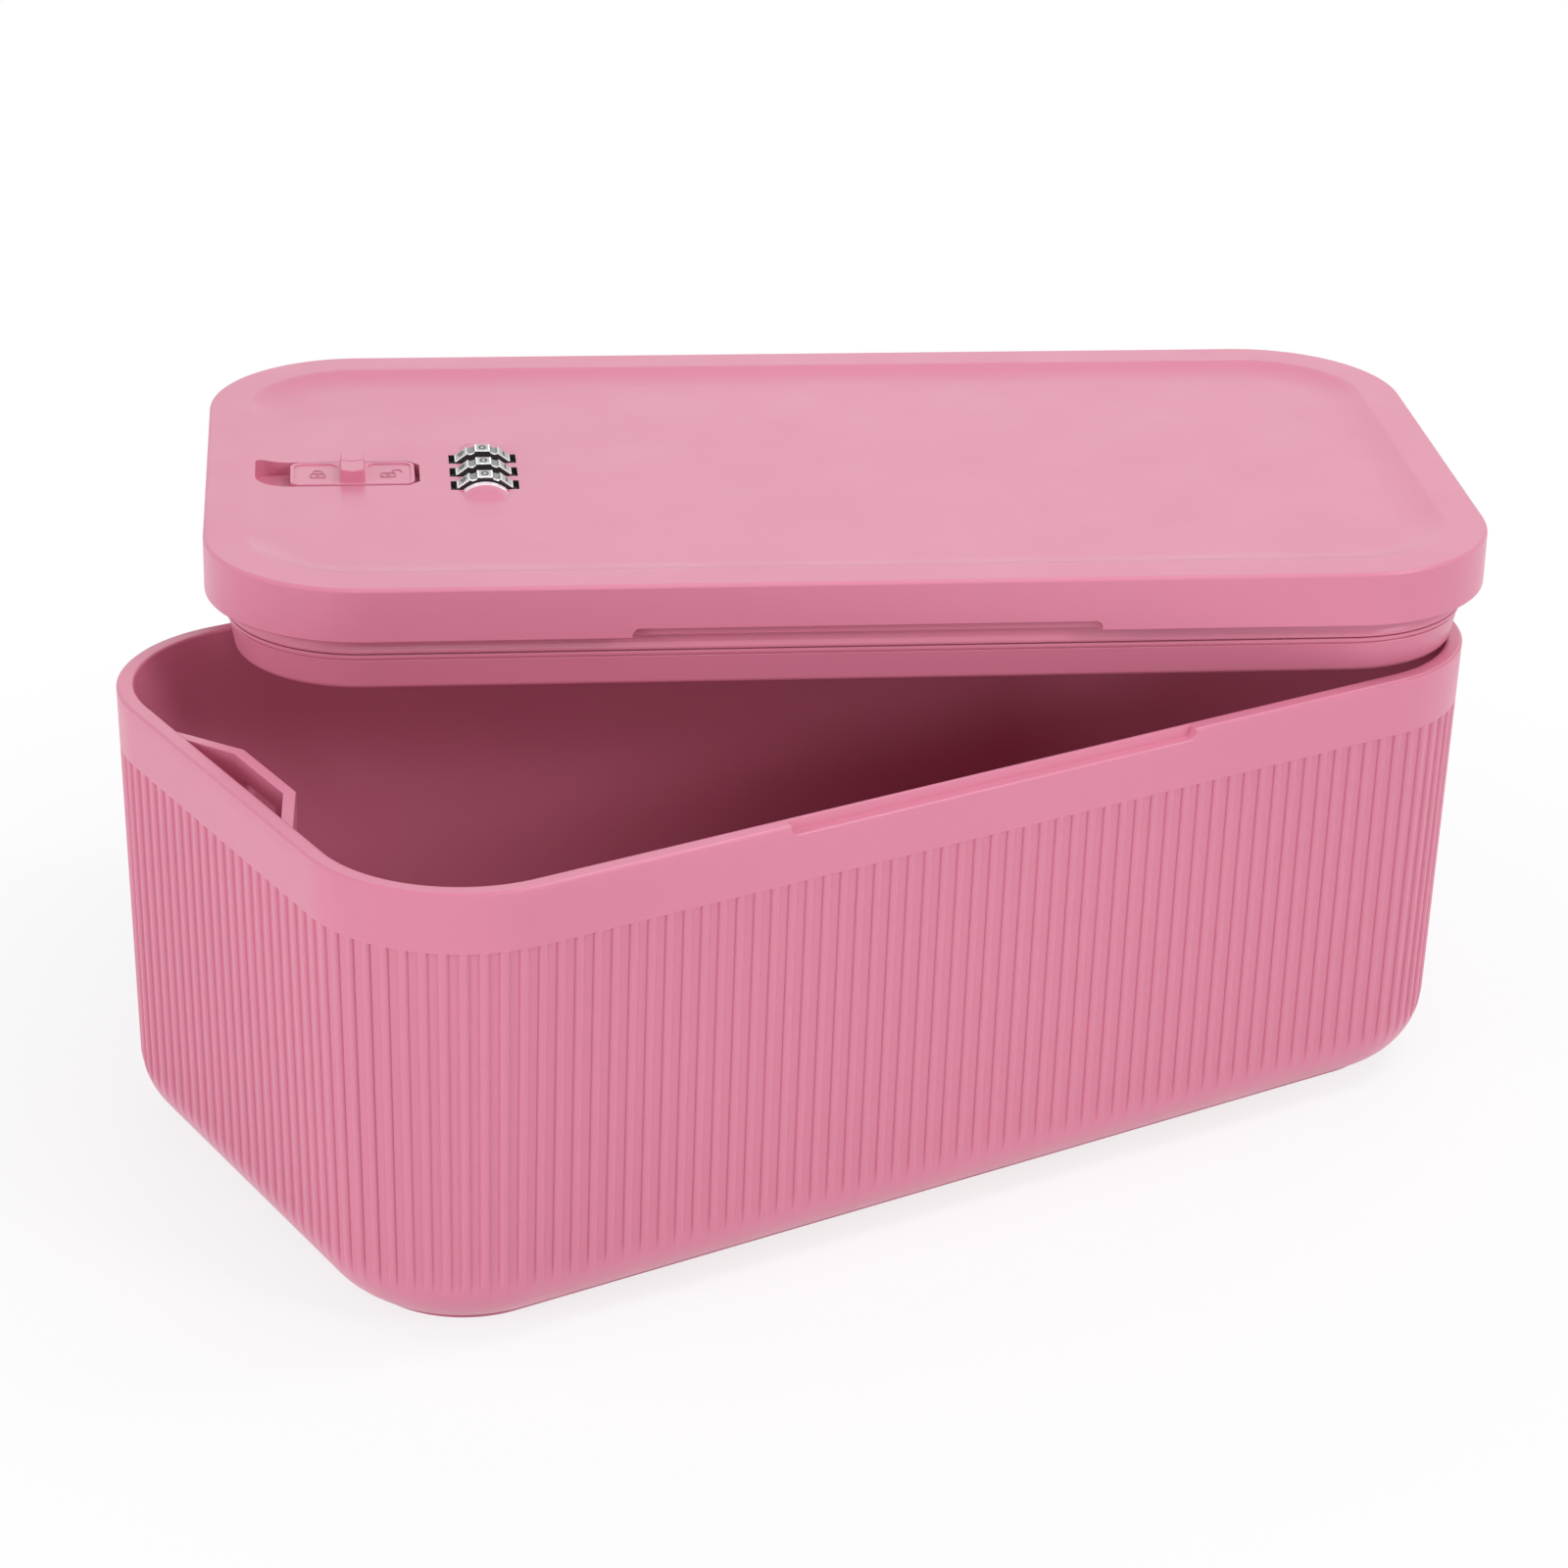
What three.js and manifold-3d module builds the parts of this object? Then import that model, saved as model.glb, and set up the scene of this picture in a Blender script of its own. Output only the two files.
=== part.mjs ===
// Medication lock box: a ribbed bin and a lift-off lid with a three-dial lock and a slide latch.
// Millimetres, +Z up, +X along the bin, origin at the middle of the bin's foot.
// The lid is built in its own frame, whose z = 0 is the face that lies on the bin's rim when the box is shut.

import * as THREE from "three";
import { mergeVertices } from "three/addons/utils/BufferGeometryUtils.js";
import Module from "manifold-3d";

const wasm = await Module();
wasm.setup();

// Clearances and counts shared by all pieces
const fit = 0.3; // between pieces that touch
const overrun = 1; // how far a cutter runs past the face it cuts
const mergeTolerance = 0.0001;
const roundSteps = 8; // facets of a full turn on small round pieces
const screwSteps = 6;
const curveSteps = 4; // to a rounded corner of an outline
const tubTurns = 4; // corners of the box
const lidCornerSteps = 7;

// Outline shared by the bin and the lid
const boxLength = 280;
const boxWidth = 151;
const cornerRadius = 34.2;
const cornerX = boxLength / 2 - cornerRadius;
const cornerY = boxWidth / 2 - cornerRadius;

// Bin
const rimHeight = 101.3;
const draftInset = 2.4; // how far the walls lean in at the foot
const binWall = 3.7;
const rimEdgeRadius = 0.9;
const rimInnerEdge = 0.5;
const bandHeight = 13.1; // smooth band above the ribs
const bottomRadius = 16.4;
const footHeight = 1.4;
const footStep = 0.9;
const floorThickness = 3;
const filletSteps = 3;
const edgeSteps = 2;

// Vertical grooves that leave the bin's ribs
const groovePitch = 4.1;
const grooveWidth = 2.9;
const grooveFloorWidth = 2.3;
const grooveDepth = 0.7;

// Finger notch, half of it in the bin's rim and half in the lid's edge
const notchLength = 100;
const notchHeight = 2.3;
const notchDepth = 2.4;
const notchCorner = 1.6;

// Latch pocket inside the bin's left wall: a trapezoid in plan
const pocketFace = 12.2; // from the box's left end to the pocket's flat face
const pocketFaceHalf = 12;
const pocketRootHalf = 28;
const pocketWall = 2.6;
const pocketDepth = 18;
const embedShare = 0.5; // of the wall that a piece of the wall is rooted in

// Keeper ledge inside the bin's right wall
const keeperReach = 3;
const keeperHalf = 18;
const keeperTop = 5; // below the rim
const keeperThickness = 3;
const keeperLead = 1;

// Lid: top shell
const lidHeight = 12.1;
const lidEdgeRadius = 0.9;
const lidBottomEdge = 0.4;
const borderWidth = 9.4;
const dishWidth = 9.1; // the hollow slope between border and panel
const dishSteps = 3;
const panelDrop = 1.95;
const shellWall = 2.2;
const neckInset = 5;
const neckDepth = 3.2;
const lipBulge = 0.5;
const lipHeight = 1.1;
const coreInset = 2.7; // hollow of the rim, open below
const coreWidth = 1.9;
const coreDepth = 8;
const coreRibs = 8;
const coreRibThickness = 1.5;

// Lid: tray, the plug that drops into the bin
const plugDepth = 13.1;
const trayFlangeInset = 4.6;
const trayFlangeHeight = 0.8;
const trayWallInset = 5;
const trayDraft = 1.1;
const trayGrooveInset = 5.4;
const trayGrooveHeight = 0.5;
const trayEdge = 1.6;
const trayWall = 2.2;
const trayFloor = 2;
const pocketClearance = 1; // between the tray's recess and the bin's pocket
const tongueInset = 4.5;
const tongueHalf = 17;
const tongueThickness = 3;

// Lid, where it lies on the open bin
const lidPlace = { x: 32.93, y: 41.79 };
const lidYaw = THREE.MathUtils.degToRad(-26.15);

// Slide button, at rest in its right-hand (open) place
const slideTravel = 7;
const slotEnd = 10.8; // from the lid's left end to the recess that the button slides in
const slotDepth = 3; // below the panel
const slotFloor = 1.6;
const slotSpareLeft = 0.7; // left of the button when the box is locked
const slotSpareRight = 1.1; // right of the button when the box is open
const slotSpareSide = 0.65;
const slotCorner = 3;
const slotChamfer = 2.4;
const buttonLength = 27.7;
const buttonHalf = 7.1;
const bladeLength = 11.8; // the button's blade reaches through the recess's floor, always under the button
const bladeHalf = 2.6;
const bladeScrew = 3; // either side of the blade's middle
const buttonCorner = 2.4;
const buttonSink = 0.4; // below the panel
const buttonBorder = 0.9;
const padSink = 0.3;
const thumbLength = 5.1;
const thumbHalf = 5.65;
const thumbRise = 3.1; // above the panel
const thumbDip = 0.35;

// Number dials and the lock's spindle
const dialCount = 3;
const dialSetback = 14.3; // from the slide's slot to the dials' axis
const dialPitch = 8.5;
const dialDigits = 10;
const dialRadius = 8.4;
const dialWidth = 4.4;
const dialAxisDrop = 5.4; // below the panel
const dialLand = 3.4; // flat that carries a digit
const dialValleyDepth = 0.45;
const dialValleyFloor = 1.1;
const dialBore = 4.4;
const keywayDepth = 1;
const keyWidth = 1.2;
const dialSlotLength = 15.1;
const dialSlotWidth = 5.6;
const dialRelief = 0.5; // round the dials, under the panel
const guardRadius = 7.35;
const guardThickness = 3;
const guardFade = 6.5; // length of the bulge that runs out into the panel
const guardSteps = 4;
const guardArcSteps = 8;
const spindleRadius = 2;
const spindleHeadRadius = 2.8;
const spindleHeadThickness = 1.2;
const clipThickness = 0.8;
const clipRadius = 3.5;
const clipGrooveRadius = 1.4;
const spindleEnd = 0.6;

// Code cams
const camRadius = 5;
const camThickness = 1.2;
const fenceOverlap = 0.6; // how deep a fence tooth stands in a cam that isn't at its code

// Lock frame, under the panel
const cheekInner = 15.75;
const cheekThickness = 2.5;
const frameHalf = 12.1; // along X, about the dials' axis
const railThickness = 2.5;
const railTop = 4.7;
const railBottom = -3;
const lugReach = 3.8;
const lugY = 17;
const lugRadius = 3.4;
const lugTop = 2.7;
const lugThickness = 2.3;
const guideBossY = 20.8;
const guideBossX = 7.6;
const guideBossRadius = 2.8;
const guideBossHeight = 5.5;
const bracketTop = -2.5;
const bracketThickness = 2;
const bracketHalf = 4.6;

// Bolt carriage, under the dials
const carriageTop = -4.6;
const carriageThickness = 2;
const carriageTail = 12.4; // behind the dials' axis
const carriageArmHalf = 8;
const towerWall = 1.8; // round the button's blade
const boltSetback = 1.4; // from the latch pocket's face to the bolt's tip
const boltHalf = 6.5;
const boltTop = -6.3;
const boltThickness = 3.6;
const riserSetback = 9.5; // behind the bolt's tip
const riserLength = 3.2;
const boltClearance = 0.4;
const toothThickness = 1.2;
const toothWidth = 1;
const windowClearance = 1;
const guidePlateThickness = 1.7;
const guidePlateHalf = 13.6; // along X, about the dials' axis
const guidePlateY = 23.4;

// Detent springs
const leafThickness = 0.4;
const leafHeight = 3.5;
const leafPlace = 16.2; // middle of the slide's leaf, left of the button's right end
const leafHalf = 8;
const leafBow = 3;
const leafTip = 1.2;
const postSize = 4;
const combTop = 4.5;
const combSpine = 3;
const combReach = 6.5;
const combFinger = 3;
const combBead = 1.6;

// Coil springs
const clutchRadius = 3.2;
const clutchWire = 0.3;
const clutchTurns = 3;
const resetRadius = 3.3;
const resetWire = 0.35;
const resetTurns = 4;
const coilSteps = 8; // to a turn
const coilSides = 5;

// Reset button, pressed from under the lid
const resetY = -29;
const resetTravel = 1.5;
const resetCapRadius = 3;
const resetCollarRadius = 4.4;
const resetCollarThickness = 1.2;
const resetStemRadius = 2;
const resetWedgeHalf = 2;
const resetWedgeRise = 6.8;
const resetWedgeBack = 2;
const resetNoseGap = 0.5;

// Screws
const screwHeadRadius = 2.6;
const screwHead = 1.6;
const screwRadius = 1.3;
const screwPilot = screwRadius + fit;
const frameScrewLength = 6.4;
const guideScrewLength = 5;
const buttonScrewLength = 8;
const trayScrewLength = 9.5;
const bossRadius = 3.2;
const trayPadRadius = 4.5;
const trayPadHeight = 2.1;
const counterboreDepth = 2.2;
const trayScrewEnd = 28; // in from the lid's ends
const trayScrewSide = 25.5; // in from its sides, at the corners
const trayScrewMiddleSide = 16.5; // and halfway along

// Heights and places that follow from the sizes above, in the lid's frame
const panelTop = lidHeight - panelDrop;
const panelUnder = panelTop - shellWall;
const dishInset = borderWidth + dishWidth;
const lipBottom = -neckDepth - lipHeight;
const trayTop = lipBottom - fit;
const trayFloorTop = -plugDepth + trayFloor;
const axisZ = panelTop - dialAxisDrop;
const carriageBottom = carriageTop - carriageThickness;
const boltBottom = boltTop - boltThickness;
const guideTop = carriageBottom - fit;
const guideBottom = guideTop - guidePlateThickness;
const cheekOuter = cheekInner + cheekThickness;
const slotHalf = buttonHalf + slotSpareSide;
const slotLeft = -boxLength / 2 + slotEnd;
const buttonLeft = slotLeft + slotSpareLeft + slideTravel;
const buttonRight = buttonLeft + buttonLength;
const buttonMiddle = (buttonLeft + buttonRight) / 2;
const slotRight = buttonRight + slotSpareRight;
const dialX = slotRight + dialSetback;
const bladeScrewX = [buttonMiddle - bladeScrew, buttonMiddle + bladeScrew];
const leafX = buttonRight - leafPlace;
const boltTip = -boxLength / 2 + pocketFace + boltSetback;
const riserFront = boltTip + riserSetback;
const slotFloorTop = panelTop - slotDepth;
const slotFloorUnder = slotFloorTop - slotFloor;
const toothTop = axisZ - camRadius + fenceOverlap;
const dialPlaces = Array.from({ length: dialCount }, (_, i) => (i - (dialCount - 1) / 2) * dialPitch);

// Solids that can be joined and cut
function solid(geometry) {
  const bare = geometry.index ? geometry.toNonIndexed() : geometry.clone();
  bare.deleteAttribute("normal");
  bare.deleteAttribute("uv");
  const merged = mergeVertices(bare, mergeTolerance);
  const vertProperties = merged.attributes.position.array;
  const triVerts = new Uint32Array(merged.index.array);
  return new wasm.Manifold(new wasm.Mesh({ numProp: 3, vertProperties, triVerts }));
}

function join(...bodies) {
  return bodies.reduce((whole, body) => whole.add(body));
}

function cut(body, ...cutters) {
  return cutters.reduce((left, cutter) => left.subtract(cutter), body);
}

function box(x0, x1, y0, y1, z0, z1) {
  const geometry = new THREE.BoxGeometry(x1 - x0, y1 - y0, z1 - z0);
  return solid(geometry.translate((x0 + x1) / 2, (y0 + y1) / 2, (z0 + z1) / 2));
}

function outline(points) {
  return new THREE.Shape(points.map(([a, b]) => new THREE.Vector2(a, b)));
}

// A prism over a plan outline (x, y)
const extrusion = (depth) => ({ depth, bevelEnabled: false, curveSegments: curveSteps });

function prismZ(shape, z0, z1) {
  const geometry = new THREE.ExtrudeGeometry(shape, extrusion(z1 - z0));
  return solid(geometry.translate(0, 0, z0));
}

// A prism over a side outline (x, z)
function prismY(shape, y0, y1) {
  const geometry = new THREE.ExtrudeGeometry(shape, extrusion(y1 - y0));
  return solid(geometry.rotateX(Math.PI / 2).translate(0, y1, 0));
}

// A prism over an end outline (y, z)
function prismX(shape, x0, x1) {
  const geometry = new THREE.ExtrudeGeometry(shape, extrusion(x1 - x0));
  const turn = new THREE.Matrix4().makeBasis(
    new THREE.Vector3(0, 1, 0),
    new THREE.Vector3(0, 0, 1),
    new THREE.Vector3(1, 0, 0),
  );
  return solid(geometry.applyMatrix4(turn).translate(x0, 0, 0));
}

// A round post or hole, upright at (x, y)
function post(x, y, radius, z0, z1) {
  const geometry = new THREE.CylinderGeometry(radius, radius, z1 - z0, roundSteps);
  return solid(geometry.rotateX(Math.PI / 2).translate(x, y, (z0 + z1) / 2));
}

// A round bar or hole along Y on the dials' axis
function axle(radius, y0, y1, steps = roundSteps) {
  const geometry = new THREE.CylinderGeometry(radius, radius, y1 - y0, steps);
  return solid(geometry.translate(dialX, (y0 + y1) / 2, axisZ));
}

function roundedRectangle(x0, x1, y0, y1, radius) {
  const shape = new THREE.Shape();
  shape.moveTo(x0 + radius, y0);
  shape.lineTo(x1 - radius, y0);
  shape.absarc(x1 - radius, y0 + radius, radius, -Math.PI / 2, 0);
  shape.lineTo(x1, y1 - radius);
  shape.absarc(x1 - radius, y1 - radius, radius, 0, Math.PI / 2);
  shape.lineTo(x0 + radius, y1);
  shape.absarc(x0 + radius, y1 - radius, radius, Math.PI / 2, Math.PI);
  shape.lineTo(x0, y0 + radius);
  shape.absarc(x0 + radius, y0 + radius, radius, Math.PI, Math.PI * 1.5);
  return shape;
}

// The box's outline, drawn in by an inset, as a ring of points at one height
function boxRing([inset, z], cornerSteps) {
  const radius = cornerRadius - inset;
  const points = [];
  [[1, 1], [-1, 1], [-1, -1], [1, -1]].forEach(([alongX, alongY], turn) => {
    for (let step = 0; step <= cornerSteps; step++) {
      const angle = ((turn + step / cornerSteps) * Math.PI) / 2;
      const x = alongX * cornerX + radius * Math.cos(angle);
      points.push(new THREE.Vector3(x, alongY * cornerY + radius * Math.sin(angle), z));
    }
  });
  return points;
}

// A body over rings of equally many points, closed by a flat face at the first and the last ring
function loft(rings) {
  const count = rings[0].length;
  const corners = [];
  const side = (a, b, c) => corners.push(a, b, c);
  for (let j = 1; j < count - 1; j++) {
    side(rings[0][0], rings[0][j + 1], rings[0][j]);
    side(rings.at(-1)[0], rings.at(-1)[j], rings.at(-1)[j + 1]);
  }
  for (let i = 0; i < rings.length - 1; i++) {
    for (let j = 0; j < count; j++) {
      const k = (j + 1) % count;
      side(rings[i][j], rings[i][k], rings[i + 1][k]);
      side(rings[i][j], rings[i + 1][k], rings[i + 1][j]);
    }
  }
  return solid(new THREE.BufferGeometry().setFromPoints(corners));
}

// Points of an arc in a section (inset, z), ends included
function arc(inset, z, radius, fromAngle, toAngle, steps) {
  return Array.from({ length: steps + 1 }, (_, i) => {
    const angle = fromAngle + ((toAngle - fromAngle) * i) / steps;
    return [inset + radius * Math.cos(angle), z + radius * Math.sin(angle)];
  });
}

// Bin
const wallInset = (z) => draftInset * (1 - z / rimHeight);

function binTub(cornerSteps) {
  const footRun = Math.acos((bottomRadius - footHeight) / bottomRadius);
  const centre = wallInset(bottomRadius) + bottomRadius;
  const outerFillet = arc(centre, bottomRadius, bottomRadius, -Math.PI / 2 - footRun, -Math.PI, filletSteps);
  const footInset = outerFillet[0][0] + footStep;
  const innerRadius = bottomRadius - binWall;
  const innerFillet = arc(
    centre, floorThickness + innerRadius, innerRadius, Math.PI, Math.PI * 1.5, filletSteps,
  );
  const rimTop = wallInset(rimHeight - rimEdgeRadius);
  const section = [
    [footInset, 0],
    [footInset, footHeight],
    ...outerFillet,
    ...arc(rimTop + rimEdgeRadius, rimHeight - rimEdgeRadius, rimEdgeRadius, Math.PI, Math.PI / 2, edgeSteps),
    [binWall - rimInnerEdge, rimHeight],
    [binWall, rimHeight - rimInnerEdge],
    ...innerFillet,
  ];
  return loft(section.map((point) => boxRing(point, cornerSteps)));
}

// Where the grooves stand on the outline: a point and the direction out of the wall
function groovePlaces() {
  const places = [];
  const perCorner = Math.round((cornerRadius * Math.PI) / 2 / groovePitch);
  const sides = [
    { x: 0, y: 1, half: cornerX, out: boxWidth / 2 },
    { x: 1, y: 0, half: cornerY, out: boxLength / 2 },
  ];
  for (const side of sides) {
    const count = Math.round((2 * side.half) / groovePitch);
    for (let i = 0; i < count; i++) {
      const along = side.half * (((2 * i + 1) / count) - 1);
      for (const sign of [-1, 1]) {
        const point = new THREE.Vector3(side.y * along, side.x * along, 0);
        const normal = new THREE.Vector3(side.x * sign, side.y * sign, 0);
        places.push({ point: point.addScaledVector(normal, side.out), normal });
      }
    }
  }
  for (let i = 0; i < tubTurns * perCorner; i++) {
    const angle = (((i + 0.5) / perCorner) * Math.PI) / 2;
    const normal = new THREE.Vector3(Math.cos(angle), Math.sin(angle), 0);
    const centre = new THREE.Vector3(cornerX * Math.sign(normal.x), cornerY * Math.sign(normal.y), 0);
    places.push({ point: centre.addScaledVector(normal, cornerRadius), normal });
  }
  return { places, perCorner };
}

// All the grooves as one cutter, each a slim wedge that leans in with the wall
function grooveCutters(places) {
  const corners = [];
  const faces = [[0, 3, 2, 1], [4, 5, 6, 7], [0, 1, 5, 4], [1, 2, 6, 5], [2, 3, 7, 6], [3, 0, 4, 7]];
  const slope = (grooveWidth - grooveFloorWidth) / grooveDepth;
  const outerHalf = (grooveWidth + slope * overrun) / 2;
  for (const { point, normal } of places) {
    const across = new THREE.Vector3(-normal.y, normal.x, 0);
    const points = [footHeight, rimHeight - bandHeight].flatMap((z) => [
      [grooveDepth, -grooveFloorWidth / 2],
      [-overrun, -outerHalf],
      [-overrun, outerHalf],
      [grooveDepth, grooveFloorWidth / 2],
    ].map(([deep, side]) => {
      const place = point.clone().addScaledVector(normal, -wallInset(z) - deep);
      return place.addScaledVector(across, side).setZ(z);
    }));
    for (const [a, b, c, d] of faces) {
      corners.push(points[a], points[b], points[c], points[a], points[c], points[d]);
    }
  }
  return solid(new THREE.BufferGeometry().setFromPoints(corners));
}

// Plan of the latch pocket, grown by an offset, from the wall side at x = root
function pocketPlan(offset, root) {
  const wallX = -boxLength / 2 + binWall;
  const faceX = -boxLength / 2 + pocketFace;
  const slant = new THREE.Vector2(faceX - wallX, pocketFaceHalf - pocketRootHalf);
  const length = slant.length();
  const sideAt = (x) => {
    const y = pocketRootHalf + ((x - wallX) * slant.y) / slant.x;
    return y + (offset * length) / slant.x;
  };
  const face = faceX + offset;
  return outline([[root, -sideAt(root)], [face, -sideAt(face)], [face, sideAt(face)], [root, sideAt(root)]]);
}

function latchPocket() {
  const root = -boxLength / 2 + binWall * embedShare;
  const top = rimHeight - rimInnerEdge;
  const bottom = rimHeight - pocketDepth;
  const faceX = -boxLength / 2 + pocketFace;
  const hollow = prismZ(pocketPlan(-pocketWall, root - overrun), bottom + pocketWall, top + overrun);
  const window = box(
    faceX - pocketWall - overrun, faceX + overrun,
    -boltHalf - windowClearance, boltHalf + windowClearance,
    rimHeight + boltBottom - windowClearance, rimHeight + boltTop + windowClearance,
  );
  return cut(prismZ(pocketPlan(0, root), bottom, top), hollow, window);
}

function keeperLedge() {
  const wallX = boxLength / 2 - binWall;
  const tip = wallX - keeperReach;
  const root = boxLength / 2 - binWall * embedShare;
  const top = rimHeight - keeperTop;
  const bottom = top - keeperThickness;
  const section = outline([
    [tip, bottom], [root, bottom], [root, top], [wallX, top], [tip, top - keeperLead],
  ]);
  return prismY(section, -keeperHalf, keeperHalf);
}

// Half of the finger notch: a slot in the front edge, open at z = edge, with rounded far corners
function fingerNotch(edge, depth) {
  const half = notchLength / 2;
  const far = edge + depth;
  const past = edge - Math.sign(depth) * overrun;
  const round = Math.sign(depth) * notchCorner;
  const shape = new THREE.Shape();
  shape.moveTo(-half, past);
  shape.lineTo(-half, far - round);
  shape.quadraticCurveTo(-half, far, -half + notchCorner, far);
  shape.lineTo(half - notchCorner, far);
  shape.quadraticCurveTo(half, far, half, far - round);
  shape.lineTo(half, past);
  return prismY(shape, -boxWidth / 2 - overrun, -boxWidth / 2 + notchDepth);
}

function bin() {
  const { places, perCorner } = groovePlaces();
  const tub = cut(binTub(perCorner), grooveCutters(places), fingerNotch(rimHeight, -notchHeight));
  return join(tub, latchPocket(), keeperLedge());
}

// Lid top shell
const dishRadius = (dishWidth ** 2 + panelDrop ** 2) / (2 * panelDrop);
const dishSweep = Math.asin(dishWidth / dishRadius);

// The hollow slope from the border down to the panel, dropped by the given depth
function dish(drop) {
  const points = arc(
    dishInset, panelTop + dishRadius, dishRadius, -Math.PI / 2 - dishSweep, -Math.PI / 2, dishSteps,
  );
  return points.map(([inset, z]) => [inset, z - drop]);
}

function shellBody() {
  const inner = neckInset + shellWall;
  const section = [
    ...dish(shellWall).reverse(),
    [inner, lidHeight - shellWall],
    [inner, lipBottom],
    [neckInset - lipBulge, lipBottom],
    [neckInset - lipBulge, lipBottom + lipHeight / 2],
    [neckInset, -neckDepth + lipHeight / 2],
    [neckInset, 0],
    [lidBottomEdge, 0],
    [0, lidBottomEdge],
    ...arc(lidEdgeRadius, lidHeight - lidEdgeRadius, lidEdgeRadius, Math.PI, Math.PI / 2, edgeSteps),
    ...dish(0),
  ];
  return loft(section.map((point) => boxRing(point, lidCornerSteps)));
}

// The rim's hollow, open below, left out where the cross ribs and the finger notch are
function rimCore() {
  const outer = boxRing([coreInset, -overrun], lidCornerSteps);
  const outerTop = boxRing([coreInset, coreDepth], lidCornerSteps);
  const inner = boxRing([coreInset + coreWidth, -overrun * 2], lidCornerSteps);
  const innerTop = boxRing([coreInset + coreWidth, coreDepth + overrun], lidCornerSteps);
  let core = cut(loft([outer, outerTop]), loft([inner, innerTop]));
  const notchHalf = notchLength / 2 + shellWall;
  core = cut(core, box(-notchHalf, notchHalf, -boxWidth, 0, -overrun * 2, lidHeight));
  for (let i = 0; i < coreRibs; i++) {
    const rib = box(0, boxLength, -coreRibThickness / 2, coreRibThickness / 2, -overrun * 2, lidHeight);
    core = cut(core, rib.rotate([0, 0, ((i + 0.5) * 360) / coreRibs]));
  }
  return core;
}

// Recess in the lid's left end that passes round the latch pocket
function pocketRecess(offset, z0, z1) {
  const root = -boxLength / 2 + neckInset - lipBulge - overrun;
  return prismZ(pocketPlan(pocketClearance + offset, root), z0, z1);
}

// Outline of the slide button's recess, grown by an offset
function slotOutline(grow) {
  const x0 = slotLeft - grow;
  const x1 = slotRight + grow;
  const half = slotHalf + grow;
  const corner = slotCorner + grow;
  const chamfer = slotChamfer + grow / 2;
  const shape = new THREE.Shape();
  shape.moveTo(x0 + corner, -half);
  shape.lineTo(x1 - chamfer, -half);
  shape.lineTo(x1, -half + chamfer);
  shape.lineTo(x1, half - chamfer);
  shape.lineTo(x1 - chamfer, half);
  shape.lineTo(x0 + corner, half);
  shape.absarc(x0 + corner, half - corner, corner, Math.PI / 2, Math.PI);
  shape.absarc(x0 + corner, -half + corner, corner, Math.PI, Math.PI * 1.5);
  return shape;
}

// Pan under the panel that the recess is sunk in, up to just under the lid's top surface
function slidePan() {
  const belowTop = loft([[borderWidth, slotFloorUnder - overrun], ...dish(fit)].map((point) => (
    boxRing(point, lidCornerSteps)
  )));
  return prismZ(slotOutline(shellWall), slotFloorUnder, lidHeight).intersect(belowTop);
}

function slideRecess() {
  const bladeSlot = box(
    buttonMiddle - bladeLength / 2 - slideTravel - fit, buttonMiddle + bladeLength / 2 + fit,
    -bladeHalf - fit, bladeHalf + fit,
    slotFloorUnder - overrun, slotFloorTop + overrun,
  );
  return [prismZ(slotOutline(0), slotFloorTop, lidHeight + overrun), bladeSlot];
}

// Slots that the dials stand in, and the reliefs under the panel for the dials, the cams and the spindle
function dialSlots() {
  const slots = dialPlaces.flatMap((y) => {
    const half = dialSlotLength / 2;
    const y0 = y - dialSlotWidth / 2;
    const y1 = y + dialSlotWidth / 2;
    return [
      box(dialX - half, dialX + half, y0, y1, panelUnder - overrun, lidHeight + overrun),
      axle(dialRadius + dialRelief, y0, y1, roundSteps * 2),
    ];
  });
  const camEnd = camSide(dialPlaces.at(-1)) + camThickness;
  return [
    ...slots,
    axle(camRadius + dialRelief, dialPlaces[0], camEnd, roundSteps * 2),
    axle(clipRadius + dialRelief, clipFront - fit, cheekInner, roundSteps * 2),
  ];
}

// Section of a guard at y: an arc of the guards' circle, flattened to the given share of its rise
function guardSection(y, riseShare) {
  const root = panelUnder + (panelTop - panelUnder) / 2;
  const half = Math.sqrt(guardRadius ** 2 - dialAxisDrop ** 2);
  const points = [new THREE.Vector3(dialX - half, y, root)];
  for (let i = 0; i <= guardArcSteps; i++) {
    const x = half * ((2 * i) / guardArcSteps - 1);
    const rise = Math.sqrt(guardRadius ** 2 - x ** 2) - dialAxisDrop;
    points.push(new THREE.Vector3(dialX + x, y, panelTop + rise * riseShare));
  }
  points.push(new THREE.Vector3(dialX + half, y, root));
  return points;
}

// Half-round guards before the first dial and behind the last, which fade out into the panel
function dialGuards() {
  const start = dialPlaces.at(-1) + dialSlotWidth / 2;
  const guard = [guardSection(start, 1)];
  for (let i = 0; i < guardSteps; i++) {
    const share = i / guardSteps;
    guard.push(guardSection(start + guardThickness + guardFade * share, (1 + Math.cos(Math.PI * share)) / 2));
  }
  const back = loft(guard);
  return [back, back.mirror([0, 1, 0])];
}

const frameScrewPlaces = [-1, 1].flatMap((endways) => [-1, 1].map((side) => (
  [dialX + endways * (frameHalf + lugReach), side * lugY]
)));
const trayScrewPlaces = [-1, 1].flatMap((side) => [
  [-boxLength / 2 + trayScrewEnd, side * (boxWidth / 2 - trayScrewSide)],
  [0, side * (boxWidth / 2 - trayScrewMiddleSide)],
  [boxLength / 2 - trayScrewEnd, side * (boxWidth / 2 - trayScrewSide)],
]);
const bossRoot = panelUnder + overrun;
const frameBossBottom = lugTop + fit;
const trayPadTop = trayFloorTop + trayPadHeight;
const trayBossBottom = trayPadTop + fit;

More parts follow.
